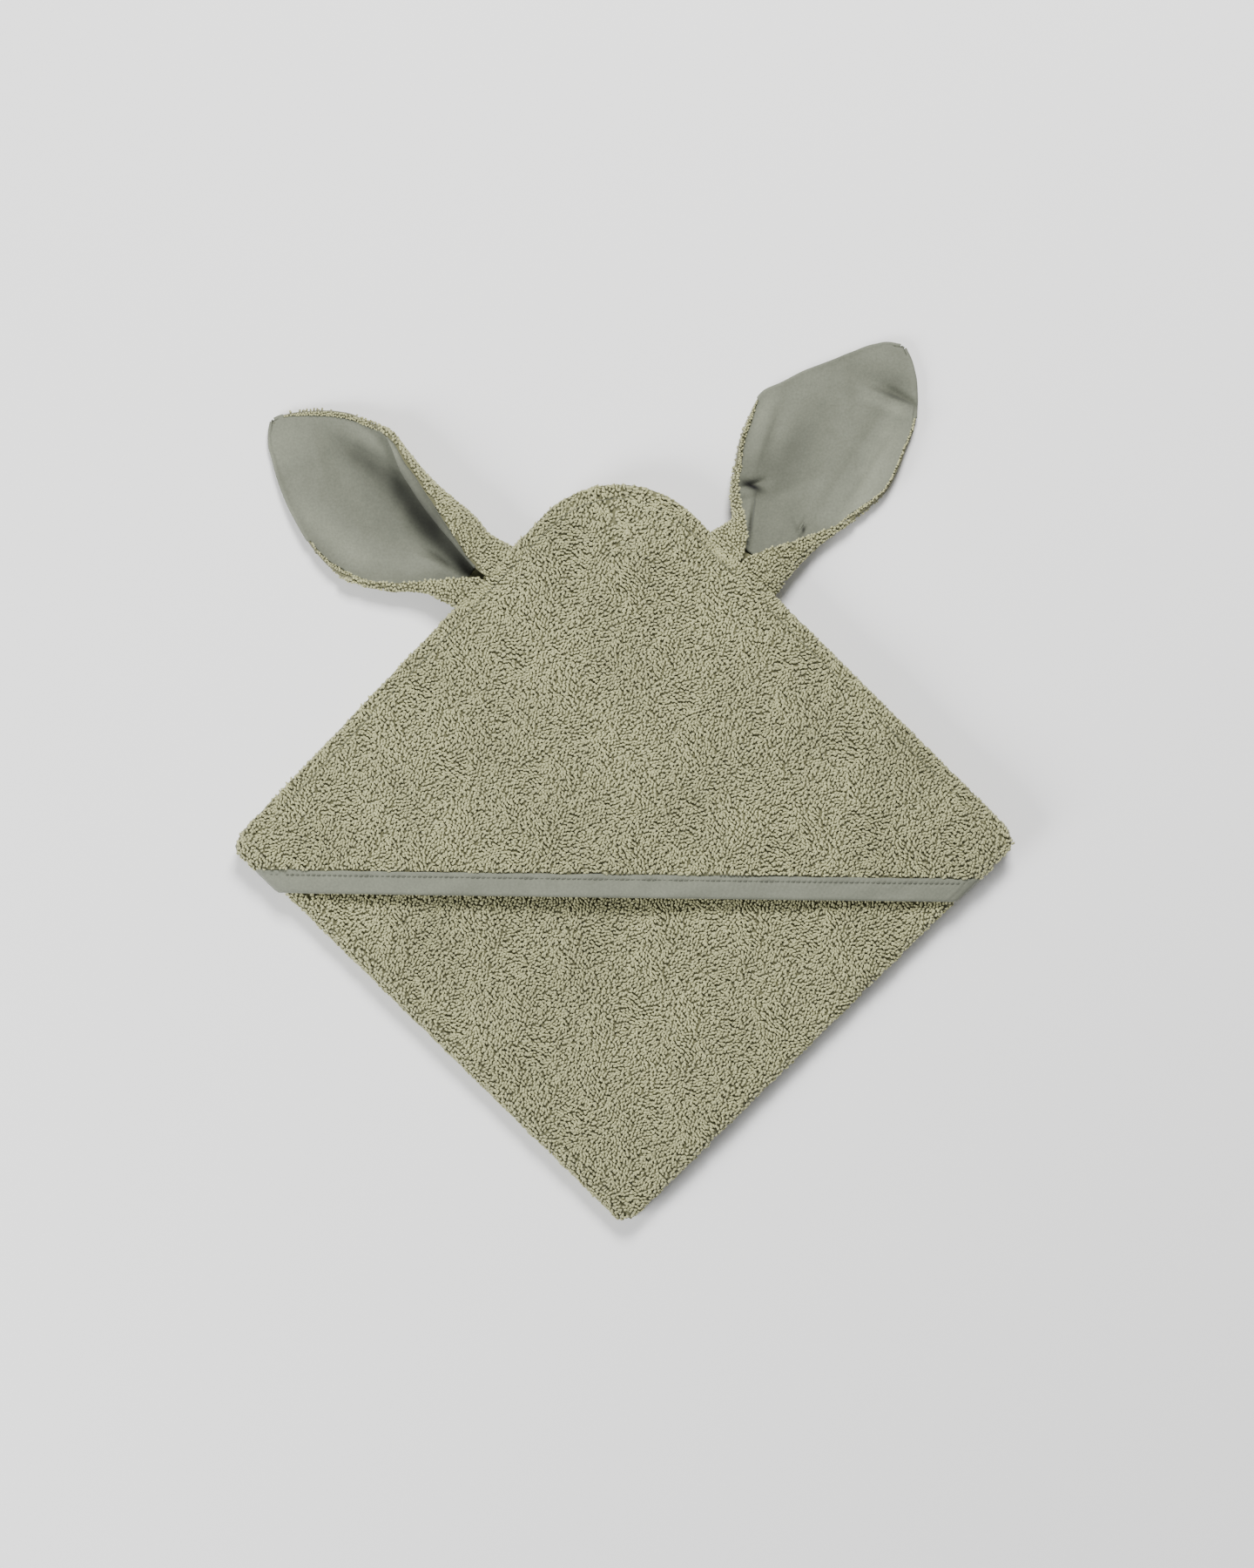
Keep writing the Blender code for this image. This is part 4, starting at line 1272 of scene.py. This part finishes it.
def shade_lining(name, item):
    """Stores a lining's painted shade and light, with slow random tone changes, as an attribute of its
    points.
    """
    s, w = ear_local(name, points_of(item.data).astype(float))
    tone = np.full(len(s), BASE_TONE)
    # Painted shade where a lining is cupped or folded, painted light where it faces up
    for *place, far, wide, strength in PAINTED_LINING_SHADING[name]:
        along, side = turned_about(s, w, *place)
        tone += PAINTED_SHADING_DEPTH * strength * np.exp(-(along / far) ** 2 - (side / wide) ** 2)
    tone += 0.025 * ripples(s, w, 34, 91) + 0.015 * ripples(s, w * 2, 13, 92)
    item.data.attributes.new("tone", "FLOAT", "POINT").data.foreach_set("value", tone.astype(np.float32))


def row_reach(grid):
    """Distances of a grid's points along their rows."""
    step = np.linalg.norm(np.diff(grid, axis=1), axis=2)
    return np.concatenate([np.zeros((len(grid), 1)), np.cumsum(step, 1)], 1)


def along_rows(grid, distance):
    """Points of a grid's rows at distances (rows by count) from each row's first point."""
    return np.stack([np.stack([np.interp(d, r, row[:, k]) for k in range(3)], -1)
                     for d, r, row in zip(distance, row_reach(grid), grid)])


def lining_hem(side, plain):
    """A lining's hem beside its plain last column: turned over a curled edge, wrapped or tucked in."""
    rim, rows, lips = side
    edge, lip = rows[:, 0], lips[:, 0]
    inwards = unit(rows[:, 5] - edge)
    past = unit(np.cross(np.gradient(edge, axis=0), lip))
    past = np.where(np.sum(past * inwards, -1, keepdims=True) > 0, -past, past)
    over = np.maximum(-rim, 0)[:, None]
    hem = []
    for (out_a, up_a), (out_b, up_b), tuck in zip(TURNED, WRAPPED, TUCKED):
        reach = over * max(0.0, out_a) + min(0.0, out_a) / 1000
        turned = edge + inwards * reach - lip * EAR_STACK * up_a
        wrapped = edge + past * out_b / 1000 + lip * up_b / 1000
        tucked = plain - lip * tuck / 1000
        hem.append(np.where(over > 0.0004, turned, np.where(rim[:, None] < EDGE_SHOWS, wrapped, tucked)))
    return np.stack(hem, 1)


def ear_lining(name, sides):
    """The lining's outer face: inside both rims, or turned over the edge where a rim is below 0."""
    (rim, face, _), (far_rim, _, _) = sides
    first = np.maximum(rim, LEAST_RIM)
    last = row_reach(face)[:, -1] - np.maximum(far_rim, LEAST_RIM)
    share = np.linspace(0, 1, LINING_COLUMNS)
    share = (share + (1 - np.cos(share * math.pi)) / 2) / 2
    body = along_rows(face, first[:, None] + (last - first)[:, None] * share)
    up = normals_of(body)
    inside = smooth(share * (1 - share) * 60)[None, :]
    lift = pleat_lift(name, *ear_local(name, body)) * inside * np.clip(up[..., 2], 0, 1)
    body = body + up * (EAR_LIFT + lift)[..., None]
    left, right = (lining_hem(side, plain) for side, plain in zip(sides, (body[:, 0], body[:, -1])))
    return round_tip(np.concatenate([left[:, ::-1], body, right], 1)[LINING_START:])


def round_tip(grid):
    """A lining with rows added that wrap the ear's tip, less towards its hems."""
    past = unit(grid[-1] - grid[-3])
    under = normals_of(grid)[-1]
    columns = np.arange(grid.shape[1])
    from_hem = np.minimum(columns, columns[::-1]) - len(WRAPPED)
    share = np.clip(from_hem / 8, 0.06, 1)[:, None] / 1000
    return np.concatenate([grid, [grid[-1] + (past * out + under * up) * share for out, up in WRAPPED[:3]]])


def nearest_row(points, edge):
    """Row of an edge that is nearest to each point, and how far it is, in plan."""
    apart = np.linalg.norm(points[:, None, :2] - edge[None, :, :2], axis=2)
    nearest = apart.argmin(1)
    return nearest, apart[np.arange(len(points)), nearest]


def clear_of_edges(points, sides):
    """Points not below a turned over lining, nor at an edge where hardly any terry shows."""
    keep = np.ones(len(points), bool)
    for rim, rows, _ in sides:
        nearest, near = nearest_row(points, rows[:, 0])
        shown = rim[nearest]
        keep &= near > np.where(shown < 0, -shown + 0.0006, np.where(shown < 0.0012, 0.0016, 0))
    return keep


def rear_loops(name, seed, back, sides, carry):
    """Loops on an ear's underside, fewer where it faces down, and none at its tip."""
    s = sizes()
    face, normal = sides[0][1:]
    rear = (back - normal * s.ground)[:, ::-1]
    points, out = places_on(rear, s.loop_gap * REAR_GAP, 60 + seed + s.seed)
    thinned = (out[:, 2] < -0.6) & (np.arange(len(points)) % 2 > 0)
    at_tip = np.linalg.norm(points - face[-1].mean(0), axis=1) < TIP_BARE
    shown = clear_of_edges(points, sides) & ~thinned & ~at_tip
    return pile(name + "_pile", points[shown], out[shown], 62 + seed, carry, reach=0.7, height=0.0015)


def rim_loops(name, seed, sides, carry):
    """Small loops that stand outwards on the terry between an ear's edges and its lining."""
    s = sizes()
    loops = []
    for letter, (rim, rows, _) in zip("ab", sides):
        band = along_rows(rows, np.maximum(rim, 0.0002)[:, None] * np.linspace(0, 0.92, 4))
        band = band if letter == "a" else band[:, ::-1]
        points, out = places_on(band, s.loop_gap * RIM_GAP, 70 + seed + s.seed)
        edge = rows[:, 0]
        nearest = np.linalg.norm(points[:, None] - edge[None], axis=2).argmin(1)
        shown = rim[nearest] > EDGE_SHOWS
        aim = unit(edge - rows[:, COLUMNS // 2])[nearest]
        loops += pile(f"{name}_rim_{letter}", points[shown], out[shown], 72 + seed, carry, reach=0.5,
                      width=0.80, height=0.0013, aim=aim[shown])
    return loops


def ear_thread(name, sides):
    """The thread that closes an ear, along one edge to the tip and back along the other."""
    lines = []
    for rim, rows, lips in sides:
        line = along_rows(rows, np.maximum(rim, 0.0006)[:, None])[:, 0]
        over = np.maximum(-rim, 0)[:, None]
        turned = rows[:, 0] + unit(rows[:, 5] - rows[:, 0]) * over - lips[:, 0] * EAR_STACK
        above = np.where(rim[:, None] < EDGE_SHOWS, -0.0004, 0.0005)
        lines.append(np.where(over > 0.0002, turned, line + lips[:, 0] * above)[THREAD_START:-1])
    points, faces = tube_along(np.concatenate([lines[0], lines[1][::-1]]), THREAD_RADIUS)
    return outward(mesh_from(name + "_thread", points, faces))


def ear_carry():
    """Bakes a piece's placement into its points."""
    return lambda item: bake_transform(item)


class TOWEL_OT_ears(bpy.types.Operator):
    """Make both ears: terry backs with loops, woven linings and their closing seams"""

    bl_idname = "towel.ears"
    bl_label = "Ears"

    def execute(self, context):
        for k, name in enumerate(EARS):
            sides, carry = ear_sides(name), ear_carry()
            _, face, normal = sides[0]
            back = face - normal * BACK_IN
            terry = closed_cloth(name + "_terry", back, sizes().ground)
            put(terry, "terry_ground", "terry", carry, name + "_back")
            loops = rear_loops(name, k, back, sides, carry)
            lining = closed_cloth(name + "_cotton", ear_lining(name, sides), LINING_CLOTH)
            shade_lining(name, lining)
            put(lining, EARS[name]["lining"], "lining", carry, name + "_lining")
            loops += rim_loops(name, k, sides, carry)
            put(ear_thread(name, sides), "sewing_thread", "thread", carry, name + "_seam")
        return {"FINISHED"}


# ---------------------------------------------------------------- carried over, and the stage


class TOWEL_OT_trim(bpy.types.Operator):
    """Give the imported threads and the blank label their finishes"""

    bl_idname = "towel.trim"
    bl_label = "Threads and label"

    def execute(self, context):
        for name in ("hood_edge_stitch", "back_hem_stitch", "front_hem_stitch"):
            dress(frame["nodes"][name], "sewing_thread")
        dress(frame["nodes"]["care_label"], "label_satin")
        return {"FINISHED"}


VIEW_CENTRE = (0.0024, 0.0342)
VIEW_HEIGHT = 1.08
CAMERA_UP = 3.0
SENSOR = 24
FLOOR_LOOK = {"Base Color": (0.92, 0.92, 0.92, 1), "Roughness": 0.9}
FLOOR_SIZE, FLOOR_BELOW = 14, 0.0006
WORLD_LIGHT = 0.32
# Each lamp: name, place, size, power, colour
LAMPS = (("key", (0.25, 1.75, 2.0), 0.8, 112, (1.0, 0.995, 0.985)),
         ("fill", (-1.8, -1.0, 1.25), 1.2, 78, (0.99, 0.995, 1.0)))


class TOWEL_OT_stage(bpy.types.Operator):
    """Add the pale floor, the soft studio light and the camera straight above"""

    bl_idname = "towel.stage"
    bl_label = "Stage"

    def execute(self, context):
        bpy.ops.object.select_all(action="DESELECT")
        bpy.ops.mesh.primitive_plane_add(size=FLOOR_SIZE, location=(0, 0, -FLOOR_BELOW))
        floor = context.active_object
        floor.name = "table"
        new_material("table_white", FLOOR_LOOK)
        floor.data.materials.append(bpy.data.materials["table_white"])

        world = bpy.data.worlds.new("studio")
        world.use_nodes = True
        background = world.node_tree.nodes["Background"]
        background.inputs["Color"].default_value = (1.0, 1.0, 1.0, 1)
        background.inputs["Strength"].default_value = WORLD_LIGHT
        context.scene.world = world

        for name, place, size, power, colour in LAMPS:
            light = bpy.data.lights.new(name, "AREA")
            light.size = size
            light.energy = power
            light.color = colour
            lamp = placed(name, light)
            lamp.location = place
            lamp.rotation_euler = (-Vector(place)).to_track_quat("-Z", "Y").to_euler()

        camera = bpy.data.cameras.new("camera")
        camera.sensor_fit = "VERTICAL"
        camera.sensor_height = SENSOR
        camera.lens = SENSOR * CAMERA_UP / VIEW_HEIGHT
        holder = placed("camera", camera)
        holder.location = (*VIEW_CENTRE, CAMERA_UP + 0.02)
        context.scene.camera = holder
        return {"FINISHED"}


class TOWEL_PT_panel(bpy.types.Panel):
    """The towel's sizes, colours and pieces"""

    bl_idname = "TOWEL_PT_panel"
    bl_label = "Hooded towel"
    bl_space_type = "VIEW_3D"
    bl_region_type = "UI"
    bl_category = "Towel"

    def draw(self, context):
        for name in TowelSizes.__annotations__:
            self.layout.prop(context.scene.towel, name)
        for operator in OPERATORS:
            self.layout.operator(operator.bl_idname)


OPERATORS = (TOWEL_OT_stage, TOWEL_OT_wraps, TOWEL_OT_hood, TOWEL_OT_hems, TOWEL_OT_binding, TOWEL_OT_ears,
             TOWEL_OT_trim)
CLASSES = (TowelSizes, *OPERATORS, TOWEL_PT_panel)


def register():
    for item in CLASSES:
        bpy.utils.register_class(item)
    bpy.types.Scene.towel = PointerProperty(type=TowelSizes)


def unregister():
    del bpy.types.Scene.towel
    for item in reversed(CLASSES):
        bpy.utils.unregister_class(item)


def main():
    register()
    bpy.ops.towel.stage()
    bpy.ops.towel.wraps()
    bpy.ops.towel.hood()
    bpy.ops.towel.hems()
    bpy.ops.towel.binding()
    bpy.ops.towel.ears()
    bpy.ops.towel.trim()


if __name__ == "__main__":
    main()
